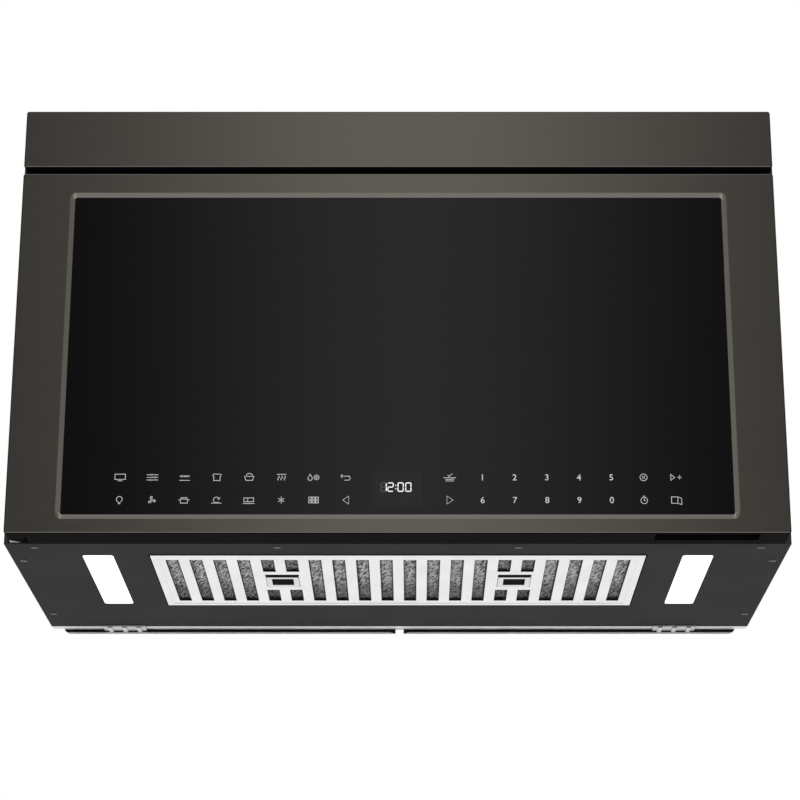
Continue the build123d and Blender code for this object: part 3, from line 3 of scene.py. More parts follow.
import bmesh
import bpy
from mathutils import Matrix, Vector


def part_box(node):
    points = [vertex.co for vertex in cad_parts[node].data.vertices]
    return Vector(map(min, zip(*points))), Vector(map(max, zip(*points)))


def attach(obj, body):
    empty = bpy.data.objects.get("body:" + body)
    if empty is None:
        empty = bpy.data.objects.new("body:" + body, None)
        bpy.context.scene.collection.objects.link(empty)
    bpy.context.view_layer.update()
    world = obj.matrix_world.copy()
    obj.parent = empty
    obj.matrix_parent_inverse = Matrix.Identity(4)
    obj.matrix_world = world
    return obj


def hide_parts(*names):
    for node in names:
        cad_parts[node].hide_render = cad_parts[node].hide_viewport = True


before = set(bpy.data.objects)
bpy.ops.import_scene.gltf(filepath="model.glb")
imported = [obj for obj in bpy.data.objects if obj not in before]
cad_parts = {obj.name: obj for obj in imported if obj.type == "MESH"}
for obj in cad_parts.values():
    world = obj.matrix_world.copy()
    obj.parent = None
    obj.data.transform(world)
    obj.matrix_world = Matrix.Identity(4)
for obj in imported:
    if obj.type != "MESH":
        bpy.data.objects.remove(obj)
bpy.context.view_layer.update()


# The camera stands below the cabinet and looks up at 19 degrees, so that the door and the underside both
# show. It is a long lens from 2.6 m, a little right of the centreline.
camera_place = (0.0147, -2.6252, -0.6405)
look_up = 19.07
film_width, lens_length, lens_shift = 36.0, 110.2, -0.0162
camera = bpy.data.objects.new("camera", bpy.data.cameras.new("camera"))
bpy.context.scene.collection.objects.link(camera)
camera.location = camera_place
camera.rotation_euler = (math.radians(90 + look_up), 0.0, 0.0)
camera.data.sensor_width = film_width
camera.data.lens = lens_length
camera.data.shift_x = lens_shift
camera.data.clip_end = 60.0
bpy.context.scene.camera = camera
bpy.context.scene.view_settings.view_transform = "Standard"


# The studio: a white room with one soft grey flat in front of the door, parted in the middle, which the
# dark steel and the black glass mirror as a pale centre and dark sides. Two soft lamps and a pale round
# floor finish it.
flat_way, flat_rim, flat_full = (0.0, -0.93, 0.36), 0.83, 0.927
parting_width, flat_depth = 0.098, 0.97
room_strength = 0.78
lamps = (("lamp_above", (-1.3, -2.3, 1.9), 1.8, 24.0), ("lamp_below", (0.9, -1.9, -1.2), 1.4, 9.0))
lamp_aim = Vector((0.0, -0.2, 0.2))
floor_radius, floor_level, floor_steps = 2.6, -1.37, 96
floor_pale_from, floor_white_from = 1.1, 2.5


def calc(tree, operation, *values):
    """One sum on shader values, each a number or another node's output."""
    node = tree.nodes.new("ShaderNodeMath")
    node.operation = operation
    for socket, value in zip(node.inputs, values):
        if isinstance(value, bpy.types.NodeSocket):
            tree.links.new(value, socket)
        else:
            socket.default_value = value
    return node.outputs["Value"]


def seen_rays(tree):
    """1 for the rays that look at the background: straight, off metal and through glass."""
    rays = tree.nodes.new("ShaderNodeLightPath")
    mirrored = calc(tree, "MAXIMUM", rays.outputs["Is Glossy Ray"], rays.outputs["Is Transmission Ray"])
    return calc(tree, "MAXIMUM", rays.outputs["Is Camera Ray"], mirrored)


def parts(tree, vector):
    """The X, Y and Z of a place or a direction."""
    split = tree.nodes.new("ShaderNodeSeparateXYZ")
    tree.links.new(vector, split.inputs["Vector"])
    return split.outputs


def blend(tree, share, first, second):
    """Two shaders mixed, by the share of the second one."""
    mix = tree.nodes.new("ShaderNodeMixShader")
    tree.links.new(share, mix.inputs["Fac"])
    tree.links.new(first, mix.inputs[1])
    tree.links.new(second, mix.inputs[2])
    return mix.outputs[0]


room = bpy.data.worlds.new("room")
room.use_nodes = True
bpy.context.scene.world = room
sky = room.node_tree
sky.nodes.clear()
room_out = sky.nodes.new("ShaderNodeOutputWorld")
looking = sky.nodes.new("ShaderNodeTexCoord").outputs["Generated"]
flat_side = sky.nodes.new("ShaderNodeVectorMath")
flat_side.operation = "DOT_PRODUCT"
flat_side.inputs[1].default_value = flat_way
sky.links.new(looking, flat_side.inputs[0])
flat_edge = sky.nodes.new("ShaderNodeMapRange")
flat_edge.interpolation_type = "SMOOTHSTEP"
flat_edge.inputs["From Min"].default_value = flat_rim
flat_edge.inputs["From Max"].default_value = flat_full
sky.links.new(flat_side.outputs["Value"], flat_edge.inputs["Value"])
aside = parts(sky, looking)["X"]
sideways = calc(sky, "MULTIPLY", aside, aside)
parting = calc(sky, "EXPONENT", calc(sky, "MULTIPLY", sideways, -1.0 / parting_width**2))
closed = calc(sky, "SUBTRACT", 1.0, parting)
flat_grey = calc(sky, "MULTIPLY", flat_depth, calc(sky, "MULTIPLY", flat_edge.outputs["Result"], closed))
mirrored_light = calc(sky, "SUBTRACT", 1.0, flat_grey)
soft_light = sky.nodes.new("ShaderNodeBackground")
soft_light.inputs["Strength"].default_value = room_strength
mirror_light = sky.nodes.new("ShaderNodeBackground")
sky.links.new(mirrored_light, mirror_light.inputs["Strength"])
white_wall = sky.nodes.new("ShaderNodeBackground")
room_rays = sky.nodes.new("ShaderNodeLightPath")
for shade in (soft_light, mirror_light, white_wall):
    shade.inputs["Color"].default_value = (1.0, 1.0, 1.0, 1.0)
seen, seen_through = room_rays.outputs["Is Camera Ray"], room_rays.outputs["Is Transmission Ray"]
wall_rays = calc(sky, "MAXIMUM", seen, seen_through)
lighting = blend(sky, room_rays.outputs["Is Glossy Ray"], soft_light.outputs[0], mirror_light.outputs[0])
sky.links.new(blend(sky, wall_rays, lighting, white_wall.outputs[0]), room_out.inputs["Surface"])

for lamp_name, lamp_place, lamp_size, lamp_watts in lamps:
    lamp = bpy.data.objects.new(lamp_name, bpy.data.lights.new(lamp_name, "AREA"))
    lamp.data.size = lamp_size
    lamp.data.energy = lamp_watts
    lamp.location = lamp_place
    lamp.rotation_euler = (lamp_aim - Vector(lamp_place)).to_track_quat("-Z", "Y").to_euler()
    lamp.visible_camera = False
    lamp.visible_glossy = False
    bpy.context.scene.collection.objects.link(lamp)

floor_turns = [math.tau * step / floor_steps for step in range(floor_steps)]
floor_circle = [(floor_radius * math.cos(turn), floor_radius * math.sin(turn)) for turn in floor_turns]
floor_mesh = bpy.data.meshes.new("floor")
floor_mesh.from_pydata([(x, y, floor_level) for x, y in floor_circle], [], [list(range(floor_steps))])


def blank(name):
    """A new material, its nodes, its shader, and the place on the piece that its pattern follows."""
    material = bpy.data.materials.new(name)
    material.use_nodes = True
    tree = material.node_tree
    place = tree.nodes.new("ShaderNodeTexCoord").outputs["Object"]
    return material, tree, tree.nodes["Principled BSDF"], place


def set_in(name, mesh, material):
    """Gives a mesh its finish and sets it in the scene as a piece."""
    mesh.materials.append(material)
    piece = bpy.data.objects.new(name, mesh)
    bpy.context.scene.collection.objects.link(piece)
    return piece


def tint(tree, value, dark, light):
    """A colour between two, by a value from 0 to 1; either colour may be another node's output."""
    mix = tree.nodes.new("ShaderNodeMix")
    mix.data_type = "RGBA"
    for socket, colour in ((mix.inputs["A"], dark), (mix.inputs["B"], light)):
        if isinstance(colour, bpy.types.NodeSocket):
            tree.links.new(colour, socket)
        else:
            socket.default_value = (*colour, 1.0)
    tree.links.new(value, mix.inputs["Factor"])
    return mix.outputs["Result"]


floor_paint, tree, floor_shader, floor_place = blank("floor_paint")
floor_shader.inputs["Roughness"].default_value = 0.9
floor_shader.inputs["Specular IOR Level"].default_value = 0.1
floor_noise = tree.nodes.new("ShaderNodeTexNoise")
floor_noise.inputs["Scale"].default_value = 3.0
tree.links.new(floor_place, floor_noise.inputs["Vector"])
floor_tint = tint(tree, floor_noise.outputs["Fac"], (0.86, 0.86, 0.85), (0.89, 0.89, 0.88))
tree.links.new(floor_tint, floor_shader.inputs["Base Color"])
far_out = tree.nodes.new("ShaderNodeVectorMath")
far_out.operation = "LENGTH"
flat_place = tree.nodes.new("ShaderNodeVectorMath")
flat_place.operation = "MULTIPLY"
flat_place.inputs[1].default_value = (1.0, 1.0, 0.0)
tree.links.new(floor_place, flat_place.inputs[0])
tree.links.new(flat_place.outputs["Vector"], far_out.inputs[0])
fade = tree.nodes.new("ShaderNodeMapRange")
fade.interpolation_type = "SMOOTHSTEP"
fade.inputs["From Min"].default_value = floor_pale_from
fade.inputs["From Max"].default_value = floor_white_from
tree.links.new(far_out.outputs["Value"], fade.inputs["Value"])
white_share = calc(tree, "MULTIPLY", fade.outputs["Result"], seen_rays(tree))
floor_white = tree.nodes.new("ShaderNodeEmission").outputs[0]
from_under = tree.nodes.new("ShaderNodeNewGeometry").outputs["Backfacing"]
unseen = tree.nodes.new("ShaderNodeBsdfTransparent").outputs[0]
floor_face = blend(tree, white_share, floor_shader.outputs[0], floor_white)
tree.links.new(blend(tree, from_under, floor_face, unseen), tree.nodes["Material Output"].inputs["Surface"])
floor = set_in("floor", floor_mesh, floor_paint)


# The mounting plate: one pressed sheet of galvanised steel that is screwed to the wall first. The oven
# hooks on to its two lower tabs, and three windows let the screws and the cord through.
def grain(tree, place, scale, detail=3.0, stretch=(1.0, 1.0, 1.0)):
    """Cloudy spots, so many to the metre, longer along an axis whose stretch is small."""
    mapping = tree.nodes.new("ShaderNodeMapping")
    mapping.inputs["Scale"].default_value = stretch
    tree.links.new(place, mapping.inputs["Vector"])
    noise = tree.nodes.new("ShaderNodeTexNoise")
    noise.inputs["Scale"].default_value = scale
    noise.inputs["Detail"].default_value = detail
    tree.links.new(mapping.outputs["Vector"], noise.inputs["Vector"])
    return noise.outputs["Fac"]


def span(tree, value, low, high, start=0.35, stop=0.65):
    """A grain stretched to run from one number to another."""
    reach = tree.nodes.new("ShaderNodeMapRange")
    reach.inputs["From Min"].default_value = start
    reach.inputs["From Max"].default_value = stop
    reach.inputs["To Min"].default_value = low
    reach.inputs["To Max"].default_value = high
    tree.links.new(value, reach.inputs["Value"])
    return reach.outputs["Result"]


def paint_over(tree, mask, colour):
    """Covers a finish with one colour where the mask is 1."""
    base = tree.nodes["Principled BSDF"].inputs["Base Color"]
    tree.links.new(tint(tree, mask, base.links[0].from_socket, colour), base)


def coat(tree, shader, colour, rough, height, depth):
    """Gives a shader its colour and its roughness, and raises its surface by so many metres at most."""
    tree.links.new(colour, shader.inputs["Base Color"])
    tree.links.new(rough, shader.inputs["Roughness"])
    bump = tree.nodes.new("ShaderNodeBump")
    bump.inputs["Strength"].default_value = 1.0
    bump.inputs["Distance"].default_value = depth
    tree.links.new(height, bump.inputs["Height"])
    tree.links.new(bump.outputs["Normal"], shader.inputs["Normal"])


def galvanised(name, dark, light):
    """Zinc coated sheet: flat crystals about 8 mm across, each a slightly different grey and gloss."""
    material, tree, shader, place = blank(name)
    shader.inputs["Metallic"].default_value = 1.0
    crystals = tree.nodes.new("ShaderNodeTexVoronoi")
    crystals.inputs["Scale"].default_value = 120.0
    tree.links.new(place, crystals.inputs["Vector"])
    crystal = tree.nodes.new("ShaderNodeSeparateColor")
    tree.links.new(crystals.outputs["Color"], crystal.inputs["Color"])
    patches = calc(tree, "MULTIPLY", grain(tree, place, 30.0), 0.4)
    each = calc(tree, "MULTIPLY_ADD", crystal.outputs["Red"], 0.6, patches)
    rough = span(tree, crystal.outputs["Green"], 0.34, 0.5, 0.0, 1.0)
    coat(tree, shader, tint(tree, each, dark, light), rough, grain(tree, place, 700.0), 0.000006)
    return material


def dress(name, material, edge=0.0):
    """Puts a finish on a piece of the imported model, and breaks its sharp edges by so many metres."""
    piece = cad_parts[name]
    piece.data.materials.clear()
    piece.data.materials.append(material)
    if edge:
        seams = piece.modifiers.new("seams", "WELD")
        seams.merge_threshold = 0.000002
        edges = piece.modifiers.new("edges", "BEVEL")
        edges.width = edge
        edges.segments = 2
        edges.limit_method = "ANGLE"
        edges.angle_limit = math.radians(40.0)
        edges.use_clamp_overlap = True
        edges.harden_normals = True
    return piece


def lipped_zinc(name):
    """Bright zinc whose lip below the cabinet is painted near black on the side that faces the room, as
    shade.
    """
    shade_depth, shade_depth_by_notch = 0.0032, 0.0048
    notch_edge, notch_clear = 0.0045, 0.0105
    plate_front = -0.002
    material = galvanised(name, (0.54, 0.55, 0.56), (0.66, 0.67, 0.68))
    tree = material.node_tree
    shader = tree.nodes["Principled BSDF"]
    facing = parts(tree, tree.nodes.new("ShaderNodeNewGeometry").outputs["True Normal"])
    where = parts(tree, tree.nodes.new("ShaderNodeTexCoord").outputs["Object"])
    aside = calc(tree, "ABSOLUTE", where["X"])
    shade_reach = span(tree, aside, shade_depth_by_notch, shade_depth, notch_edge, notch_clear)
    above_end = calc(tree, "GREATER_THAN", where["Z"], calc(tree, "SUBTRACT", 0.0, shade_reach))
    low = calc(tree, "MULTIPLY", above_end, calc(tree, "LESS_THAN", where["Z"], 0.0))
    on_plate = calc(tree, "GREATER_THAN", where["Y"], plate_front)
    to_room = calc(tree, "LESS_THAN", facing["Y"], -0.5)
    # Painted shade: the room side of the lip below the cabinet goes near black and loses its metal.
    black = calc(tree, "MULTIPLY", calc(tree, "MULTIPLY", low, on_plate), to_room)
    paint_over(tree, black, (0.003, 0.003, 0.003))
    tree.links.new(calc(tree, "SUBTRACT", 1.0, black), shader.inputs["Metallic"])
    shader.inputs["Specular IOR Level"].default_value = 0.1
    return material


dress("mounting_plate", lipped_zinc("plate_zinc"))


# The rear panel: galvanised sheet flanged at its foot, held to the wrap by a row of pan head screws whose
# heads sit in the gap in front of the mounting plate.
rear_screw_x, rear_screw_drop = (0.05, 0.17, 0.26, 0.35), 0.012
# Painted light: a paler, less metallic copy of the zinc, so that the rear panel's flange shows lit.
lit_flange_zinc = galvanised("lit_flange_zinc", (0.74, 0.75, 0.75), (0.84, 0.84, 0.84))
lit_flange_zinc.node_tree.nodes["Principled BSDF"].inputs["Metallic"].default_value = 0.25
dress("rear_panel", lit_flange_zinc)


def turned(rings, steps):
    """Points and faces of a closed turned shape about Z, from rings of (radius, height), tip to tip."""
    points = []
    faces = []
    for radius, height in rings:
        points += [
            (radius * math.cos(math.tau * step / steps), radius * math.sin(math.tau * step / steps), height)
            for step in range(steps)
        ]
    for ring in range(len(rings) - 1):
        for step in range(steps):
            after = (step + 1) % steps
            low, high = ring * steps, (ring + 1) * steps
            faces.append((low + step, low + after, high + after, high + step))
    faces.append(tuple(range(steps))[::-1])
    faces.append(tuple(len(points) - steps + step for step in range(steps)))
    return points, faces


def cross_screw(radius, height, shank, length):
    """A pan head screw about Z, head up, its seat at 0: domed head, cross recess, shank and thread."""
    steps, tip, thread = 28, 0.0012, 0.0005
    threads = [
        (shank * (1.0 if turn % 2 else 0.82), -length + tip + turn * thread)
        for turn in range(int((length - 0.0016) / thread))
    ]
    head = [(1.0, 0.0), (1.0, 0.45), (0.93, 0.75), (0.78, 0.93), (0.6, 1.0)]
    points, faces = turned(
        [(0.0003, -length), (shank * 0.8, -length + tip), *threads, (shank * 0.9, 0.0)]
        + [(radius * across, height * up) for across, up in head],
        steps,
    )
    faces.pop()
    shape = bmesh.new()
    corners = [shape.verts.new(point) for point in points]
    for face in faces:
        shape.faces.new([corners[index] for index in face])
    top_ring = corners[-steps:]
    arm, half = radius * 0.5, radius * 0.11
    cross = []
    for turn in range(4):
        c, s = math.cos(turn * math.pi / 2), math.sin(turn * math.pi / 2)
        for x, y in ((half, half), (arm, half), (arm, -half))[::-1]:
            cross.append((x * c - y * s, x * s + y * c))
    rim = [shape.verts.new((x, y, height)) for x, y in cross]
    foot = [shape.verts.new((x * 0.55, y * 0.55, height * 0.35)) for x, y in cross]
    edges = [shape.edges.get((top_ring[i], top_ring[(i + 1) % steps])) for i in range(steps)]
    edges += [shape.edges.new((rim[i], rim[(i + 1) % 12])) for i in range(12)]
    bmesh.ops.triangle_fill(shape, edges=edges, use_beauty=True)
    for i in range(12):
        after = (i + 1) % 12
        shape.faces.new((rim[i], rim[after], foot[after], foot[i]))
    shape.faces.new(foot)
    bmesh.ops.recalc_face_normals(shape, faces=shape.faces)
    mesh = bpy.data.meshes.new("cross_screw")
    shape.to_mesh(mesh)
    shape.free()
    return mesh


def fasten(name, screw, places, out, material, body, *stands_for):
    """Sets one screw at each place as one piece, head out, each cross at an angle of its own."""
    spin_step = 2.4
    turn = Vector((0.0, 0.0, 1.0)).rotation_difference(Vector(out))
    points, faces = [], []
    for number, place in enumerate(places):
        c, s = math.cos(number * spin_step), math.sin(number * spin_step)
        base = len(points)
        for vertex in screw.vertices:
            x, y, z = vertex.co
            rolled = Vector((x * c - y * s, x * s + y * c, z))
            points.append(turn @ rolled + Vector(place))
        faces += [tuple(base + index for index in face.vertices) for face in screw.polygons]
    mesh = bpy.data.meshes.new(name)
    mesh.from_pydata(points, [], faces)
    mesh.shade_smooth()
    mesh.set_sharp_from_angle(angle=math.radians(35.0))
    piece = set_in(name, mesh, material)
    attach(piece, body)
    if stands_for:
        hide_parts(*stands_for)
    return piece


def finish(
    name,
    dark,
    light,
    rough,
    patch=14.0,
    fleck=900.0,
    depth=0.00001,
    stretch=(1.0, 1.0, 1.0),
    metallic=0.0,
    specular=0.5,
):
    """A sheet or moulding finish: colour drifts in patches, and gloss and relief follow a finer grain."""
    material, tree, shader, place = blank(name)
    shader.inputs["Metallic"].default_value = metallic
    shader.inputs["Specular IOR Level"].default_value = specular
    drift = span(tree, grain(tree, place, patch), 0.0, 1.0)
    fine = grain(tree, place, fleck, 4.0, stretch)
    coat(tree, shader, tint(tree, drift, dark, light), span(tree, fine, *rough), fine, depth)
    return material


zinc_screw = finish("zinc_screw", (0.5, 0.51, 0.52), (0.68, 0.68, 0.67), (0.25, 0.4), metallic=1.0)
rear_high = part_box("rear_panel")[1]
rear_screw_z = rear_high.z - rear_screw_drop
rear_screws = fasten(
    "rear_screws",
    cross_screw(radius=0.0034, height=0.0018, shank=0.0016, length=0.007),
    [(side * across, rear_high.y, rear_screw_z) for side in (-1, 1) for across in rear_screw_x],
    (0.0, 1.0, 0.0),
    zinc_screw,
    "cabinet",
)


# The outer wrap: one sheet of steel folded over the top and down both sides, painted satin black. The rear
# panel and the bottom plate are screwed to its folded edges.
wrap_paint = finish(
    "wrap_paint",
    (0.02, 0.02, 0.021),
    (0.026, 0.026, 0.027),
    (0.42, 0.55),
    patch=9.0,
    fleck=1300.0,
    depth=0.000012,
    specular=0.3,
)
dress("outer_wrap", wrap_paint)


# The cord grommet: a moulded rubber bush, snapped into the hole in the cabinet's top at the right rear. It
# keeps the edge of the sheet off the power cord.
rubber = finish("rubber", (0.018, 0.018, 0.018), (0.03, 0.03, 0.03), (0.6, 0.75), fleck=1500.0)
dress("cord_grommet", rubber)


# The bottom plate: steel sheet with the filter and lamp openings, under a fine textured dark grey powder
# coat. It lies on the foot of the wrap and is screwed up into it.
powder_coat = finish(
    "powder_coat",
    (0.0255, 0.0275, 0.027),
    (0.0305, 0.0325, 0.032),
    (0.6, 0.75),
    patch=9.0,
    fleck=1500.0,
    depth=0.00003,
    specular=0.04,
)
dress("bottom_plate", powder_coat)


# Eight pan head screws of blackened steel hold the bottom plate up to the cabinet: four along its front
# edge and two down each side. Only their low heads show.
front_screw_x, front_screw_y = (0.117, 0.352), -0.336
side_screw_x, side_screw_y = 0.3698, (-0.287, -0.0723)
screw_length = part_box("underside_screws")[1].z
black_zinc = finish(
    "black_zinc", (0.03, 0.03, 0.03), (0.08, 0.08, 0.079), (0.3, 0.45), patch=60.0, metallic=1.0
)
underside_screws = fasten(
    "plate_screws",
    cross_screw(radius=0.0036, height=0.0007, shank=0.0018, length=screw_length),
    [(side * across, front_screw_y, 0.0) for side in (-1, 1) for across in front_screw_x]
    + [(side * side_screw_x, along, 0.0) for side in (-1, 1) for along in side_screw_y],
    (0.0, 0.0, -1.0),
    black_zinc,
    "cabinet",
    "underside_screws",
)


# The cooktop lamps: a frosted, ribbed glass strip on each side of the filter, dropped into a white moulded
# tray with a row of lamps on a board above it. They are lit.
def lit_glass(name):
    """Frosted glass with fine cast ribs across it, lit evenly from behind."""
    material, tree, shader, place = blank(name)
    shader.inputs["Emission Strength"].default_value = 0.75
    cloud = grain(tree, place, 25.0)
    frost = tint(tree, cloud, (0.93, 0.93, 0.9), (0.97, 0.97, 0.95))
    glow = tint(tree, cloud, (0.98, 0.97, 0.93), (1.0, 1.0, 0.97))
    tree.links.new(glow, shader.inputs["Emission Color"])
    ribs = tree.nodes.new("ShaderNodeTexWave")
    ribs.bands_direction = "Y"
    ribs.inputs["Scale"].default_value = 100.0
    tree.links.new(place, ribs.inputs["Vector"])
    rough = span(tree, grain(tree, place, 2000.0), 0.35, 0.5)
    coat(tree, shader, frost, rough, ribs.outputs["Fac"], 0.00025)
    return material


lamp_glass = lit_glass("lamp_glass")
dress("lamp_lens_left", lamp_glass)
dress("lamp_lens_right", lamp_glass)
white_moulding = finish(
    "white_moulding", (0.78, 0.78, 0.76), (0.83, 0.83, 0.81), (0.35, 0.48), fleck=1100.0, depth=0.000006
)
dress("lamp_trays", white_moulding)


def circuit(name):
    """Board green: a lacquer over fine copper runs, with white pads between them."""
    material, tree, shader, place = blank(name)
    runs = tree.nodes.new("ShaderNodeTexBrick")
    runs.inputs["Scale"].default_value = 140.0
    runs.inputs["Mortar Size"].default_value = 0.05
    runs.inputs["Color1"].default_value = (0.02, 0.12, 0.05, 1.0)
    runs.inputs["Color2"].default_value = (0.03, 0.16, 0.065, 1.0)
    runs.inputs["Mortar"].default_value = (0.06, 0.26, 0.1, 1.0)
    tree.links.new(place, runs.inputs["Vector"])
    pads = span(tree, grain(tree, place, 260.0, 1.0), 0.0, 1.0, 0.66, 0.69)
    padded = tint(tree, pads, runs.outputs["Color"], (0.62, 0.62, 0.6))
    rough = span(tree, grain(tree, place, 90.0), 0.28, 0.45)
    coat(tree, shader, padded, rough, runs.outputs["Fac"], 0.00003)
    return material


board_green = circuit("board_green")
dress("lamp_boards", board_green)


# The base shelf: galvanised sheet between the grease filter's chamber and the oven above it. Its air ways
# are pressed in, and it is fixed inside the wrap.
zinc_sheet = galvanised("zinc_sheet", (0.58, 0.59, 0.6), (0.72, 0.73, 0.74))
dress("base_shelf", zinc_sheet)


# The front frame: black painted steel that closes the cabinet behind the door, with the oven mouth cut in
# it. Two hinge brackets of thicker steel, dipped black, are fixed to its left side.
dress("front_frame", wrap_paint)


def blackened_hinge(name):
    """Steel dipped black, with a pale grey triangle on the outer corner of the lower arm."""
    pale_slope, pale_at_wall, lower_arm_top = 1.4, 0.1232, 0.01
    material = finish(
        name, (0.004, 0.004, 0.004), (0.007, 0.007, 0.007), (0.4, 0.55), patch=40.0, specular=0.002
    )
    tree = material.node_tree
    where = parts(tree, tree.nodes.new("ShaderNodeTexCoord").outputs["Object"])
    pale_line = calc(tree, "MULTIPLY_ADD", where["Y"], pale_slope, pale_at_wall)
    pale_corner = calc(tree, "LESS_THAN", calc(tree, "SUBTRACT", where["X"], pale_line), 0.0)
    low = calc(tree, "LESS_THAN", where["Z"], lower_arm_top)
    paint_over(tree, calc(tree, "MULTIPLY", pale_corner, low), (0.42, 0.42, 0.42))
    return material


dress("hinge_brackets", blackened_hinge("blackened_hinge"))


# The oven cavity: folded and welded steel under speckled grey enamel, with pressed rails and air holes. A
# mica sheet covers the mouth of the waveguide on its right wall.
def enamel(name):
    """Fired grey enamel with pale specks and a slight orange peel."""
    material, tree, shader, place = blank(name)
    shader.inputs["Coat Weight"].default_value = 0.3
    specks = tree.nodes.new("ShaderNodeTexVoronoi")
    specks.inputs["Scale"].default_value = 420.0
    tree.links.new(place, specks.inputs["Vector"])
    drift = span(tree, grain(tree, place, 10.0), 0.0, 1.0)
    ground = tint(tree, drift, (0.165, 0.166, 0.17), (0.2, 0.201, 0.205))
    pale = span(tree, specks.outputs["Distance"], 1.0, 0.0, 0.1, 0.22)
    speckled = tint(tree, calc(tree, "MULTIPLY", pale, 0.4), ground, (0.5, 0.5, 0.5))
    rough = span(tree, grain(tree, place, 200.0), 0.2, 0.32)
    coat(tree, shader, speckled, rough, grain(tree, place, 350.0), 0.00004)
    return material


dress("cavity_liner", enamel("cavity_enamel"))
mica = finish(
    "mica",
    (0.5, 0.44, 0.33),
    (0.66, 0.6, 0.47),
    (0.35, 0.6),
    patch=60.0,
    fleck=300.0,
    depth=0.00002,
    stretch=(1.0, 1.0, 0.3),
)
dress("waveguide_cover", mica)


# The broil element: a sheathed heating rod bent in a flat loop under the oven's ceiling, its alloy browned
# by heat. The convection heater is the same rod, coiled round the fan.
scorched = finish(
    "scorched_rod",
    (0.11, 0.095, 0.085),
    (0.26, 0.24, 0.22),
    (0.35, 0.55),
    patch=70.0,
    fleck=1400.0,
    metallic=1.0,
)
dress("broil_element", scorched)
dress("convection_heater", scorched)


# The turntable: a pressed glass tray on a moulded coupler, carried by a ring with three rollers. A small
# geared motor under the oven floor turns it.
def clear_glass(name, dark, light):
    """Clear glass with a faint green cast and light handling marks."""
    material, tree, shader, place = blank(name)
    shader.inputs["Transmission Weight"].default_value = 1.0
    shader.inputs["IOR"].default_value = 1.5
    marks = grain(tree, place, 18.0, 5.0)
    waves = grain(tree, place, 25.0, 1.0)
    coat(tree, shader, tint(tree, marks, dark, light), span(tree, marks, 0.0, 0.05), waves, 0.00002)
    return material


dress("turntable_tray", clear_glass("tray_glass", (0.86, 0.92, 0.9), (0.92, 0.96, 0.94)))
dress("turntable_coupler", white_moulding)
dress("roller_ring", white_moulding)
nylon = finish("nylon", (0.7, 0.69, 0.63), (0.78, 0.77, 0.72), (0.38, 0.5))
for number in (1, 2, 3):
    dress(f"roller_{number}", nylon)
grey_steel = finish(
    "grey_steel",
    (0.46, 0.46, 0.47),
    (0.6, 0.6, 0.6),
    (0.28, 0.42),
    patch=40.0,
    fleck=500.0,
    depth=0.000006,
    metallic=1.0,
)
dress("turntable_motor", grey_steel)


# The convection oven's rear chamber: a drawn galvanised shell behind the cavity with a bladed steel fan in
# it and the fan's motor outside.
dress("convection_housing", zinc_sheet)
dress("convection_fan", grey_steel)
dress("convection_motor", grey_steel)


# The microwave source: the magnetron, a steel tube in a stack of cooling fins. It is bolted to a galvanised
# waveguide on the oven's side.
dress("waveguide", zinc_sheet)
dress("magnetron", grey_steel)


# The supplies: an inverter board that feeds the magnetron, and the power board that switches everything
# else. Both are lacquered boards with their parts soldered on.
dress("inverter_supply", board_green)
dress("power_board", board_green)


# The cooling fan: a moulded blade in a square moulded shroud, fixed to the cabinet's rear. It blows over
# the magnetron and the boards.
grey_moulding = finish("grey_moulding", (0.2, 0.2, 0.21), (0.27, 0.27, 0.28), (0.4, 0.55), fleck=1300.0)
dress("cooling_fan_shroud", grey_moulding)
dress("cooling_fan_blade", white_moulding)


# The latch side: a moulded bracket behind the front frame takes the door's two hooks and carries three
# switches. A small motor drives the plunger that pushes the door open.
dress("interlock_bracket", white_moulding)
black_moulding = finish(
    "black_moulding",
    (0.0035, 0.0035, 0.0036),
    (0.0055, 0.0055, 0.0056),
    (0.5, 0.65),
    patch=20.0,
    fleck=1600.0,
    depth=0.00002,
    specular=0.005,
)
dress("interlock_switches", black_moulding)
dress("opener_motor", grey_moulding)
dress("opener_plunger", white_moulding)


# The vent blower: a motor between two moulded wheels, which are pressed on one shaft. It hangs in a
# galvanised housing under the cabinet's top.
dress("blower_housing", zinc_sheet)
dress("blower_motor", grey_steel)
dress("blower_shaft", zinc_screw)
dress("blower_wheels", grey_moulding)


# The exhaust adapter: a galvanised collar on top for the duct, with a thin damper flap that falls shut by
# itself. Two rows of pan head screws beside it hold the cabinet's top.
rear_row_x, rear_row_y = (0.2, 0.35), -0.02
front_row_x, front_row_y = (0.08, 0.22, 0.36), -0.33
dress("exhaust_adapter", zinc_sheet)
dress("damper_flap", zinc_sheet)
top_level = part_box("outer_wrap")[1].z
top_screws = fasten(
    "top_screws",
    cross_screw(radius=0.0036, height=0.002, shank=0.0018, length=0.007),
    [(side * across, rear_row_y, top_level) for side in (-1, 1) for across in rear_row_x]
    + [(side * across, front_row_y, top_level) for side in (-1, 1) for across in front_row_x],
    (0.0, 0.0, 1.0),
    zinc_screw,
    "cabinet",
)


# The charcoal filter: a shallow tray of bonded carbon grains. It lies in the path of the air that is blown
# back into the room, and comes out to be changed.
def carbon_grains(name):
    """Packed black grains about 2 mm across, paler at their middles with painted shade between them."""
    material, tree, shader, place = blank(name)
    grains = tree.nodes.new("ShaderNodeTexVoronoi")
    grains.inputs["Scale"].default_value = 500.0
    tree.links.new(place, grains.inputs["Vector"])
    shade = span(tree, grains.outputs["Distance"], 1.0, 0.0, 0.0, 0.7)
    carbon = tint(tree, shade, (0.008, 0.008, 0.008), (0.045, 0.045, 0.045))
    coat(tree, shader, carbon, span(tree, grain(tree, place, 900.0), 0.55, 0.85), shade, 0.0008)
    return material


dress("charcoal_filter", carbon_grains("carbon_grains"))


# The top panel: folded steel above the door in dark bronze, brushed along its length. Its underside, where
# the air slots are, is in the shade colour that the air gap shows.
def normals(tree):
    """The X, Y and Z of the way that the surface faces, on the piece's own axes."""
    return parts(tree, tree.nodes.new("ShaderNodeTexCoord").outputs["Normal"])


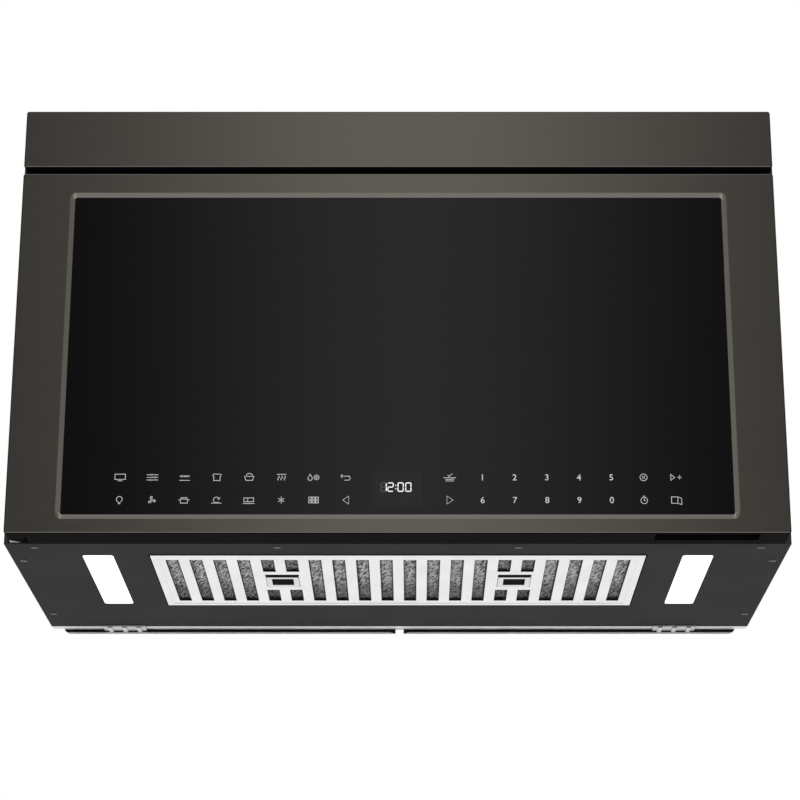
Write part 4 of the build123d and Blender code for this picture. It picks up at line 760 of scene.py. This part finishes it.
def bronze(name, top_from):
    """Dark bronze steel, brushed sideways, with painted highlights on the bevels and painted shade on the
    edges that turn away.

    A face gets the painted shade of the top edge where it looks up by more than top_from.
    """
    material, tree, shader, place = blank(name)
    brushing = grain(tree, place, 2600.0, 4.0, (0.012, 1.0, 1.0))
    drift = span(tree, grain(tree, place, 5.0), 0.0, 1.0)
    streak = tint(tree, span(tree, brushing, 0.0, 1.0), (0.122, 0.112, 0.097), (0.138, 0.127, 0.11))
    colour = tint(tree, calc(tree, "MULTIPLY", drift, 0.25), streak, (0.131, 0.122, 0.107))
    lean = normals(tree)
    outward = calc(tree, "MULTIPLY", lean["X"], parts(tree, place)["X"])
    # Painted highlights: the bevels get a paler bronze, as if lit.
    stile_highlight = span(tree, outward, 1.0, 0.0, -0.03, -0.01)
    rail_highlight = span(tree, calc(tree, "ABSOLUTE", lean["Z"]), 0.0, 1.0, 0.15, 0.25)
    colour = tint(tree, rail_highlight, colour, (0.172, 0.159, 0.138))
    colour = tint(tree, stile_highlight, colour, (0.29, 0.265, 0.23))
    # Painted shade: the outer side edges, the upward faces and the downward faces go near black, without
    # metal or gloss.
    side_shade = span(tree, outward, 0.0, 1.0, 0.01, 0.05)
    top_shade = span(tree, lean["Z"], 0.0, 1.0, top_from, top_from + 0.3)
    foot_shade = span(tree, lean["Z"], 1.0, 0.0, -0.8, -0.5)
    edge = calc(tree, "MAXIMUM", side_shade, calc(tree, "MAXIMUM", top_shade, foot_shade))
    face = calc(tree, "SUBTRACT", 1.0, edge)
    tree.links.new(calc(tree, "MULTIPLY", face, 0.85), shader.inputs["Metallic"])
    tree.links.new(calc(tree, "MULTIPLY", face, 0.5), shader.inputs["Specular IOR Level"])
    shown = tint(tree, face, (0.006, 0.006, 0.006), colour)
    coat(tree, shader, shown, span(tree, brushing, 0.15, 0.19), brushing, 0.0000008)
    return material


dress("top_panel", bronze("panel_bronze", top_from=0.1), edge=0.00015)


# The grease filter: a pressed aluminium panel with twenty columns of slots and a raised rim. Its upright
# walls are painted dark as shade. It hangs on four hooks at the rear.
aluminium = finish(
    "aluminium",
    (0.85, 0.85, 0.85),
    (0.91, 0.91, 0.9),
    (0.3, 0.4),
    patch=20.0,
    fleck=800.0,
    depth=0.000006,
    stretch=(0.2, 1.0, 1.0),
    metallic=1.0,
)
tree = aluminium.node_tree
# Painted shade: every upright wall of the panel goes near black.
upright_shade = calc(tree, "LESS_THAN", calc(tree, "ABSOLUTE", normals(tree)["Z"]), 0.5)
paint_over(tree, upright_shade, (0.02, 0.02, 0.02))
dress("filter_panel", aluminium, edge=0.0002)


# Behind the slots lie two sheets of expanded aluminium mesh. Each is slit and stretched, so every strand
# zigzags and touches the next one at its bends. They are cut away round the latches.
slot_count, slot_pitch, slot_width, slot_length, slot_short = 20, 0.0235, 0.0127, 0.1608, 0.0449
slots_by_latches = (4, 5, 14, 15)
latch_x, latch_room, latch_slide_room = 0.1175, 0.004, 0.0125
mesh_low, mesh_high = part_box("filter_mesh")
latch_boxes = [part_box("filter_latch_left"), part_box("filter_latch_right")]
slot_front = (mesh_low.y + mesh_high.y) / 2 - slot_length / 2


def mesh_bare(name):
    """Bare aluminium strands with slanting streaks 3 mm apart painted as glints, and painted shade at the
    rear and by the latches.
    """
    unshaded_to, shaded_from, shaded_share = -0.208, -0.17, 0.5
    latch_shaded_to, latch_unshaded_from, latch_shaded_share = 0.022, 0.03, 0.65
    material, tree, shader, plain_place = blank(name)
    shader.inputs["Metallic"].default_value = 1.0
    turned_place = tree.nodes.new("ShaderNodeMapping")
    turned_place.inputs["Rotation"].default_value = (0.0, 0.0, math.radians(72.0))
    tree.links.new(plain_place, turned_place.inputs["Vector"])
    place = turned_place.outputs["Vector"]
    # Painted glints: slanting streaks from near black to white stand in for strands catching the light.
    glint_streaks = span(tree, grain(tree, place, 420.0, 1.5, (0.22, 1.0, 1.0)), 0.0, 1.0, 0.38, 0.56)
    strands = tint(tree, glint_streaks, (0.1, 0.1, 0.1), (1.0, 1.0, 0.98))
    where = parts(tree, plain_place)
    # Painted shade: darker towards the rear of the slots and by the latches.
    rear = span(tree, where["Y"], 1.0, shaded_share, unshaded_to, shaded_from)
    aside = calc(tree, "ABSOLUTE", calc(tree, "SUBTRACT", calc(tree, "ABSOLUTE", where["X"]), latch_x))
    by_latch = span(tree, aside, latch_shaded_share, 1.0, latch_shaded_to, latch_unshaded_from)
    bright = calc(tree, "MULTIPLY", rear, by_latch)
    shown = tint(tree, bright, (0.0, 0.0, 0.0), strands)
    rough = span(tree, grain(tree, place, 900.0), 0.25, 0.45)
    coat(tree, shader, shown, rough, grain(tree, place, 2500.0), 0.00001)
    return material


strand_metal = mesh_bare("strand_metal")


def near_latch(x, y):
    """Whether a strand would run into a latch, at rest or slid 8 mm to the front."""
    return any(
        low.x - latch_room < x < high.x + latch_room and low.y - latch_slide_room < y < high.y + latch_room
        for low, high in latch_boxes
    )


def expanded_sheet(name, level, pitch, row, strand, lean):
    """Zigzag strands in rows across the filter, three sided, each leaning so that the sheet has depth."""
    points, faces = [], []
    columns = int((mesh_high.x - mesh_low.x - strand) / pitch * 2)
    rows = int((mesh_high.y - mesh_low.y - 2 * strand) / row)
    for line in range(rows):
        y_line = mesh_low.y + strand + (line + 0.5) * row
        last = None
        for column in range(columns + 1):
            x = mesh_low.x + strand / 2 + column * pitch / 2
            side = 1 if (column + line) % 2 else -1
            y = y_line + side * row * 0.42
            z = level + side * lean
            if near_latch(x, y):
                last = None
                continue
            ring = len(points)
            points += [(x, y - strand / 2, z), (x, y + strand / 2, z), (x, y, z + strand * 0.8)]
            if last is not None:
                faces += [(last + i, last + (i + 1) % 3, ring + (i + 1) % 3, ring + i) for i in range(3)]
            else:
                faces.append((ring + 2, ring + 1, ring))
            last = ring
    mesh = bpy.data.meshes.new(name)
    mesh.from_pydata(points, [], faces)
    piece = set_in(name, mesh, strand_metal)
    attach(piece, "filter")
    return piece


# Thin near black strips along both long edges and the far end of each slot, behind the sheet: painted shade
# at the slot edges.
strip_level, strip_thick = 0.0001, 0.0005
strip_under, strip_left, strip_right, strip_rear = 0.001, 0.0007, 0.0011, 0.0022
edge_shade_points, edge_shade_faces = [], []
for column in range(slot_count):
    slot_right = (column - (slot_count - 1) / 2) * slot_pitch + slot_width / 2
    slot_left, slot_rear = slot_right - slot_width, slot_front + slot_length
    runs = [(slot_front, slot_rear)]
    if column in slots_by_latches:
        runs = [(slot_front, slot_front + slot_short), (slot_rear - slot_short, slot_rear)]
    for near, far in runs:
        for left, right, start, stop in (
            (slot_left - strip_under, slot_left + strip_left, near, far),
            (slot_right - strip_right, slot_right + strip_under, near, far),
            (slot_left, slot_right, far - strip_rear, far + strip_under),
        ):
            base = len(edge_shade_points)
            for level in (mesh_low.z + strip_level, mesh_low.z + strip_level + strip_thick):
                rectangle = ((left, start), (right, start), (right, stop), (left, stop))
                edge_shade_points += [(x, y, level) for x, y in rectangle]
            box_faces = [(3, 2, 1, 0), (4, 5, 6, 7)]
            box_faces += [(i, (i + 1) % 4, 4 + (i + 1) % 4, 4 + i) for i in range(4)]
            edge_shade_faces += [tuple(base + corner for corner in face) for face in box_faces]
shaded_edge = finish("shaded_edge", (0.006, 0.006, 0.006), (0.012, 0.012, 0.012), (0.5, 0.7), specular=0.1)
edge_shade_mesh = bpy.data.meshes.new("slot_edge_shade")
edge_shade_mesh.from_pydata(edge_shade_points, [], edge_shade_faces)
slot_edge_shade = set_in("slot_edge_shade", edge_shade_mesh, shaded_edge)
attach(slot_edge_shade, "filter")
lower_mesh = expanded_sheet(
    "mesh_lower", mesh_low.z + 0.0014, pitch=0.0068, row=0.0026, strand=0.0012, lean=0.0007
)
upper_mesh = expanded_sheet(
    "mesh_upper", mesh_low.z + 0.0038, pitch=0.0058, row=0.0023, strand=0.0011, lean=-0.0007
)
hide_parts("filter_mesh")
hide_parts("filter_mesh")


# Two slide latches near the filter's front: white mouldings with a finger hole. The hole's walls and the
# gap in front of each latch are painted dark as shade. A small spring holds each latch out.
grip_y, grip_half_width, grip_half_length = -0.20765, 0.0114, 0.01255
face_depth, back_depth = 0.0002, 0.0055
latch_white = finish(
    "latch_white", (0.8, 0.8, 0.79), (0.86, 0.86, 0.85), (0.35, 0.48), fleck=1100.0, depth=0.000006
)
tree = latch_white.node_tree
where = parts(tree, tree.nodes.new("ShaderNodeTexCoord").outputs["Object"])
latch_front, latch_foot = latch_boxes[0][0].y, latch_boxes[0][0].z
grip_across = calc(tree, "ABSOLUTE", calc(tree, "SUBTRACT", calc(tree, "ABSOLUTE", where["X"]), latch_x))
grip_along = calc(tree, "ABSOLUTE", calc(tree, "SUBTRACT", where["Y"], grip_y))
in_width = calc(tree, "LESS_THAN", grip_across, grip_half_width)
in_grip = calc(tree, "MULTIPLY", in_width, calc(tree, "LESS_THAN", grip_along, grip_half_length))
in_gap = calc(tree, "LESS_THAN", where["Y"], latch_front + 0.0002)
above_face = calc(tree, "GREATER_THAN", where["Z"], latch_foot + face_depth)
below_back = calc(tree, "LESS_THAN", where["Z"], latch_foot + back_depth)
walls = calc(tree, "MULTIPLY", above_face, below_back)
# Painted shade: the finger hole's walls and the gap in front of each latch go near black.
grip_shade = calc(tree, "MULTIPLY", calc(tree, "MAXIMUM", in_grip, in_gap), walls)
paint_over(tree, grip_shade, (0.012, 0.012, 0.012))
dress("filter_latch_left", latch_white, edge=0.0003)
dress("filter_latch_right", latch_white, edge=0.0003)


# The door's back: black painted steel with the microwave choke folded round its edge. The fine steel screen
# and the clear inner glass sit in its window.
dress("door_back", wrap_paint)
screen_low, screen_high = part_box("door_screen")
screen_pitch, screen_hole = 0.005, 0.0019
screen_columns = round((screen_high.x - screen_low.x) / screen_pitch)
screen_rows = round((screen_high.z - screen_low.z) / screen_pitch)
cell_wide = (screen_high.x - screen_low.x) / screen_columns
cell_tall = (screen_high.z - screen_low.z) / screen_rows
screen = bmesh.new()
for column in range(screen_columns):
    for line in range(screen_rows):
        x = screen_low.x + (column + 0.5) * cell_wide
        z = screen_low.z + (line + 0.5) * cell_tall
        outer, inner = [], []
        for step in range(8):
            angle = math.tau * (step + 0.5) / 8
            c, s = math.cos(angle), math.sin(angle)
            reach = 1.0 / max(abs(c), abs(s))
            out_x, out_z = c * reach * cell_wide / 2, s * reach * cell_tall / 2
            outer.append(screen.verts.new((x + out_x, screen_low.y, z + out_z)))
            inner.append(screen.verts.new((x + c * screen_hole, screen_low.y, z + s * screen_hole)))
        for step in range(8):
            after = (step + 1) % 8
            screen.faces.new((outer[step], outer[after], inner[after], inner[step]))
bmesh.ops.remove_doubles(screen, verts=screen.verts, dist=0.00001)
bmesh.ops.recalc_face_normals(screen, faces=screen.faces)
screen_mesh = bpy.data.meshes.new("screen_sheet")
screen.to_mesh(screen_mesh)
screen.free()
screen_sheet = set_in("screen_sheet", screen_mesh, wrap_paint)
thick = screen_sheet.modifiers.new("thick", "SOLIDIFY")
thick.thickness = screen_high.y - screen_low.y
thick.offset = -1.0
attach(screen_sheet, "door")
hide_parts("door_screen")
dress("door_inner_glass", clear_glass("inner_glass", (0.78, 0.8, 0.8), (0.84, 0.86, 0.86)))


# The door's core: a black moulded shell with the finger pocket in its foot, turning on nylon bushes. The
# latch bar slides in it on a small coil spring.
dress("door_shell", black_moulding)
dress("hinge_bushes", nylon)
dress("latch_bar", grey_moulding)
spring_steel = finish("spring_steel", (0.55, 0.55, 0.55), (0.7, 0.7, 0.69), (0.2, 0.3), metallic=1.0)
dress("latch_spring", spring_steel)
dress("touch_board", board_green)
dress("display_module", black_moulding)


# The door glass: one sheet of tempered glass with black printed behind it, so that it shows as a dark
# mirror. It is set in the skin's window and stands against the shell.
def black_glass(name):
    """Polished glass over black print, with the faint haze that wiping leaves."""
    material, tree, shader, place = blank(name)
    shader.inputs["Specular IOR Level"].default_value = 0.25
    haze = grain(tree, place, 9.0, 5.0)
    black = tint(tree, haze, (0.0018, 0.0018, 0.0018), (0.0024, 0.0024, 0.0024))
    coat(tree, shader, black, span(tree, haze, 0.015, 0.05), grain(tree, place, 5.0, 1.0), 0.00003)
    return material


dress("door_glass", black_glass("black_glass"))


# The key marks: white print on the face of the glass in two rows of eight on each side of the clock. Each
# mark is a plain picture of what its key does, or a number.
glass_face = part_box("door_glass")[0].y
print_depths = (glass_face - 0.00005, glass_face - 0.00002)
white_print = finish(
    "white_print",
    (0.5, 0.5, 0.49),
    (0.6, 0.6, 0.59),
    (0.45, 0.6),
    patch=200.0,
    fleck=3000.0,
    depth=0.000002,
    specular=0.2,
)


def arc(x, z, radius, start, stop, steps=10):
    """Points along a circle, in degrees from the right, turning upwards."""
    turn = [math.radians(start + (stop - start) * step / steps) for step in range(steps + 1)]
    return [(x + radius * math.cos(angle), z + radius * math.sin(angle)) for angle in turn]


def ribbon(line, width, depths, points, faces):
    """Adds a flat line of print with mitred corners, closed where its ends meet."""
    closed = math.dist(line[0], line[-1]) < 0.01
    if closed:
        line = line[:-1]
    count = len(line)
    base = len(points)
    for index, (x, z) in enumerate(line):
        before = line[index - 1] if index or closed else None
        after = line[(index + 1) % count] if index < count - 1 or closed else None
        ways = []
        for start, stop in ((before, (x, z)), ((x, z), after)):
            if start is not None and stop is not None:
                long = math.dist(start, stop) or 1.0
                ways.append(((stop[0] - start[0]) / long, (stop[1] - start[1]) / long))
        dx, dz = sum(way[0] for way in ways), sum(way[1] for way in ways)
        long = math.hypot(dx, dz) or 1.0
        nx, nz = -dz / long, dx / long
        fit = max(0.5, abs(nx * -ways[0][1] + nz * ways[0][0]))
        reach = width / 2 / fit
        for depth in depths:
            for side in (1, -1):
                points.append(((x + side * nx * reach) / 1000, depth, (z + side * nz * reach) / 1000))
    pairs = [(index, (index + 1) % count) for index in range(count if closed else count - 1)]
    for here, there in pairs:
        a, b = base + here * 4, base + there * 4
        faces += [(a, b, b + 1, a + 1), (a + 2, a + 3, b + 3, b + 2)]
        faces += [(a, a + 2, b + 2, b), (a + 1, b + 1, b + 3, a + 3)]
    if not closed:
        end = base + (count - 1) * 4
        faces += [(base, base + 1, base + 3, base + 2), (end, end + 2, end + 3, end + 1)]


def printed(name, lines, width, depths, material):
    """One piece of print from its lines, given in millimetres across and up the door."""
    points, faces = [], []
    for line in lines:
        ribbon(line, width, depths, points, faces)
    mesh = bpy.data.meshes.new(name)
    mesh.from_pydata(points, [], faces)
    piece = set_in(name, mesh, material)
    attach(piece, "door")


def box_line(x0, z0, x1, z1):
    """The outline of an upright rectangle."""
    return [(x0, z0), (x1, z0), (x1, z1), (x0, z1), (x0, z0)]


def turned_line(line, degrees):
    """A line turned about the middle of its mark."""
    c, s = math.cos(math.radians(degrees)), math.sin(math.radians(degrees))
    return [(x * c - z * s, x * s + z * c) for x, z in line]


upper_row, lower_row = 55.7, 33.0
left_columns = (-265.7, -234.7, -203.9, -173.0, -142.1, -111.1, -80.2, -49.4)
middle_column, right_columns = 50.0, (235.5, 266.6)
blade = [(0.7, 0), (2, 1.6), (3.6, 1), (3.4, -0.4), (0.7, 0)]
mark_places = [(x, z) for z in (upper_row, lower_row) for x in left_columns]
mark_places += [(middle_column, upper_row), (middle_column, lower_row)]
mark_places += [(x, z) for z in (upper_row, lower_row) for x in right_columns]
marks = {
    "screen_key": [box_line(-5, -2, 5, 3.2), [(-2.2, -3.4), (2.2, -3.4)]],
    "adjust_key": [
        *([(-5.5, level), (5.5, level)] for level in (-2.6, 0, 2.6)),
        [(-2, -3.6), (-2, -1.6)],
        [(2.6, -1), (2.6, 1)],
        [(-0.6, 1.6), (-0.6, 3.6)],
    ],
    "crisp_key": [
        [(-5, -3), (5, -3)],
        *(arc(x, z, 1.3, 0, 180) for x, z in ((-3.2, 0.4), (0, 0.4), (3.2, 0.4), (-1.6, 0.2), (1.6, 0.2))),
    ],
    "toast_key": [
        [
            (-3, -3.2),
            (3, -3.2),
            (3, 0.8),
            *arc(2.6, 2, 1.4, -40, 120, 6),
            *arc(-2.6, 2, 1.4, 60, 220, 6),
            (-3, 0.8),
            (-3, -3.2),
        ]
    ],
    "bake_key": [[(-4.4, 1), (4.4, 1), (3.2, -3), (-3.2, -3), (-4.4, 1)], arc(0, 0.8, 3.2, 0, 180)],
    "broil_key": [
        [(-4.6, 3), (4.6, 3)],
        *([(x, 1.6), (x + 0.8, 0), (x - 0.8, -1.4), (x, -3)] for x in (-3, 0, 3)),
    ],
    "dry_key": [
        [(-3.6, 3.2), *arc(-3.6, -1, 2.1, 150, 390), (-3.6, 3.2)],
        arc(2.6, 0, 2.4, 0, 360, 16),
        arc(2.6, 0, 0.8, 0, 360, 8),
    ],
    "back_key": [
        [(-3.6, 3), (-5, 1.2), (-3.6, -0.6)],
        [(-5, 1.2), (2, 1.2), *arc(2, -0.8, 2, 90, -90, 8), (-1.6, -2.8)],
    ],
    "light_key": [arc(0, 0.8, 2.8, -60, 240, 16), [(-1.4, -2.6), (1.4, -2.6)], [(-1, -3.6), (1, -3.6)]],
    "fan_key": [arc(0, 0, 0.7, 0, 360, 8), *(turned_line(blade, turn) for turn in (90, 210, 330))],
    "cook_key": [
        [(-3.6, 1), (-3.2, -3), (3.2, -3), (3.6, 1), (-3.6, 1)],
        [(-3, 2.4), (3, 2.4)],
        [(-5.2, 0.2), (-3.6, 0.2)],
        [(3.6, 0.2), (5.2, 0.2)],
    ],
    "reheat_key": [[(-5, -3), (5, -3)], arc(0, 0.2, 2.8, 20, 320, 14), [(0.8, 1.2), (2.7, 1), (3.6, 2.8)]],
    "soften_key": [box_line(-4.6, -1.6, 4.6, 2.2), [(-1, 2.2), (-1, -1.6)], [(-5.6, -3.4), (5.6, -3.4)]],
    "thaw_key": [turned_line([(-3.4, 0), (3.4, 0)], turn) for turn in (90, 30, 150)],
    "more_key": [box_line(x, z, x + 2.6, z + 2.2) for x in (-4.6, -1.3, 2.0) for z in (-2.8, 0.8)],
    "left_key": [[(2.8, 4), (-3, 0), (2.8, -4), (2.8, 4)]],
    "menu_key": [
        [(-2, 2.2), (-0.6, 0.9), (2.4, 3.8)],
        [(-6, -0.4), (6, -0.4)],
        [(-4, -2), (4, -2)],
        [(-4, -3.6), (4, -3.6)],
    ],
    "right_key": [[(-2.8, 4), (3, 0), (-2.8, -4), (-2.8, 4)]],
    "stop_key": [arc(0, 0, 3.4, 0, 360, 18), [(-1.5, -1.5), (1.5, 1.5)], [(-1.5, 1.5), (1.5, -1.5)]],
    "start_key": [[(-5, 3), (-1.2, 0), (-5, -3), (-5, 3)], [(1.4, 0), (5.4, 0)], [(3.4, -2), (3.4, 2)]],
    "timer_key": [arc(0, -0.4, 3.2, 0, 360, 18), [(0, 1.6), (0, -0.4), (1.6, -0.4)], [(-1, 3.9), (1, 3.9)]],
    "open_key": [box_line(-5, -3.2, 1, 3.2), [(1, 3.2), (4.6, 1.8), (4.6, -4.4), (1, -3.2)]],
}
for (name, lines), (x, z) in zip(marks.items(), mark_places, strict=True):
    width = 0.4 if name in ("left_key", "right_key") else 0.6
    placed = [[(x + px, z + pz) for px, pz in line] for line in lines]
    printed(name, placed, width, print_depths, white_print)

numeral_columns = (204.6, 81.2, 112.0, 142.9, 173.7)
for number in range(10):
    x = numeral_columns[number % 5]
    z = upper_row if 1 <= number <= 5 else lower_row
    letter = bpy.data.curves.new("numeral", "FONT")
    letter.body = str(number)
    letter.align_x = "CENTER"
    letter.size = 0.0086
    letter.offset = 0.00006
    letter.extrude = 0.000015
    shaper = bpy.data.objects.new("numeral_shaper", letter)
    bpy.context.scene.collection.objects.link(shaper)
    bpy.context.view_layer.update()
    mesh = bpy.data.meshes.new_from_object(shaper.evaluated_get(bpy.context.evaluated_depsgraph_get()))
    bpy.data.objects.remove(shaper)
    tall = [vertex.co.y for vertex in mesh.vertices]
    middle = (max(tall) + min(tall)) / 2
    for vertex in mesh.vertices:
        across, up, out = vertex.co
        vertex.co = (x / 1000 + across, sum(print_depths) / 2 - out, z / 1000 + up - middle)
    mesh.name = f"numeral_{number}"
    mesh.materials.clear()
    numeral = set_in(f"numeral_{number}", mesh, white_print)
    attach(numeral, "door")


# The clock: lit bars behind a smoked window in the middle of the key rows. The window is only a shade paler
# than the glass round it, and the bars that are off show faintly.
smoked = finish(
    "smoked_window",
    (0.0045, 0.0045, 0.0046),
    (0.0056, 0.0056, 0.0057),
    (0.03, 0.06),
    patch=60.0,
    specular=0.26,
)
window_rim = box_line(-24, 26.7, 24, 61.7)[:4]
window_depths = (glass_face - 0.00002, glass_face - 0.00001)
window_points = [(x / 1000, y, z / 1000) for y in window_depths for x, z in window_rim]
window_faces = [(0, 1, 2, 3), (7, 6, 5, 4)]
window_faces += [(i, i + 4, (i + 1) % 4 + 4, (i + 1) % 4) for i in range(4)]
window_mesh = bpy.data.meshes.new("clock_window")
window_mesh.from_pydata(window_points, [], window_faces)
clock_window = set_in("clock_window", window_mesh, smoked)
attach(clock_window, "door")


def lit_bar(name, dark, light, glow):
    """A clock bar: white plastic with a light behind it, its glow a little uneven in faint clouds."""
    material, tree, shader, place = blank(name)
    shader.inputs["Emission Strength"].default_value = glow
    cloud = span(tree, grain(tree, place, 900.0), 0.0, 1.0)
    tree.links.new(tint(tree, cloud, (0.85, 0.87, 0.9), (1.0, 1.0, 1.0)), shader.inputs["Emission Color"])
    coat(tree, shader, tint(tree, cloud, dark, light), span(tree, cloud, 0.3, 0.45), cloud, 0.000003)
    return material


bars = {
    "a": ((-2.2, 4.2), (2.2, 4.2)),
    "b": ((2.5, 3.9), (2.5, 0.3)),
    "c": ((2.5, -0.3), (2.5, -3.9)),
    "d": ((-2.2, -4.2), (2.2, -4.2)),
    "e": ((-2.5, -0.3), (-2.5, -3.9)),
    "f": ((-2.5, 3.9), (-2.5, 0.3)),
    "g": ((-2.1, 0.0), (2.1, 0.0)),
}
clock_level, bar_width, colon_x, colon_levels = 45.95, 1.0, -1.7, (44.3, 47.6)
clock_depths = (print_depths[0] - 0.00003, print_depths[0])
digits = ((-13.3, "bc"), (-6.7, "abged"), (2.9, "abcdef"), (10.3, "abcdef"))
lit_lines, dim_lines = [], []
for x, on in digits:
    for bar, ends in bars.items():
        line = [(x + px, clock_level + pz) for px, pz in ends]
        if bar in on:
            lit_lines.append(line)
        elif x == digits[0][0]:
            dim_lines.append(line)
lit_lines += [[(colon_x, level - 0.5), (colon_x, level + 0.5)] for level in colon_levels]
bar_lit = lit_bar("lit_bar", (0.7, 0.7, 0.7), (0.8, 0.8, 0.8), 0.3)
bar_off = lit_bar("dim_bar", (0.05, 0.05, 0.05), (0.07, 0.07, 0.07), 0.0)
printed("clock_bars", lit_lines, bar_width, clock_depths, bar_lit)
printed("clock_bars_off", dim_lines, bar_width, clock_depths, bar_off)


# The door skin: the bronze front frame of the door, pressed from one sheet with a bevelled window for the
# glass and folded returns. It clips over the shell and closes the door's assembly.
dress("door_skin", bronze("skin_bronze", top_from=0.5), edge=0.00015)
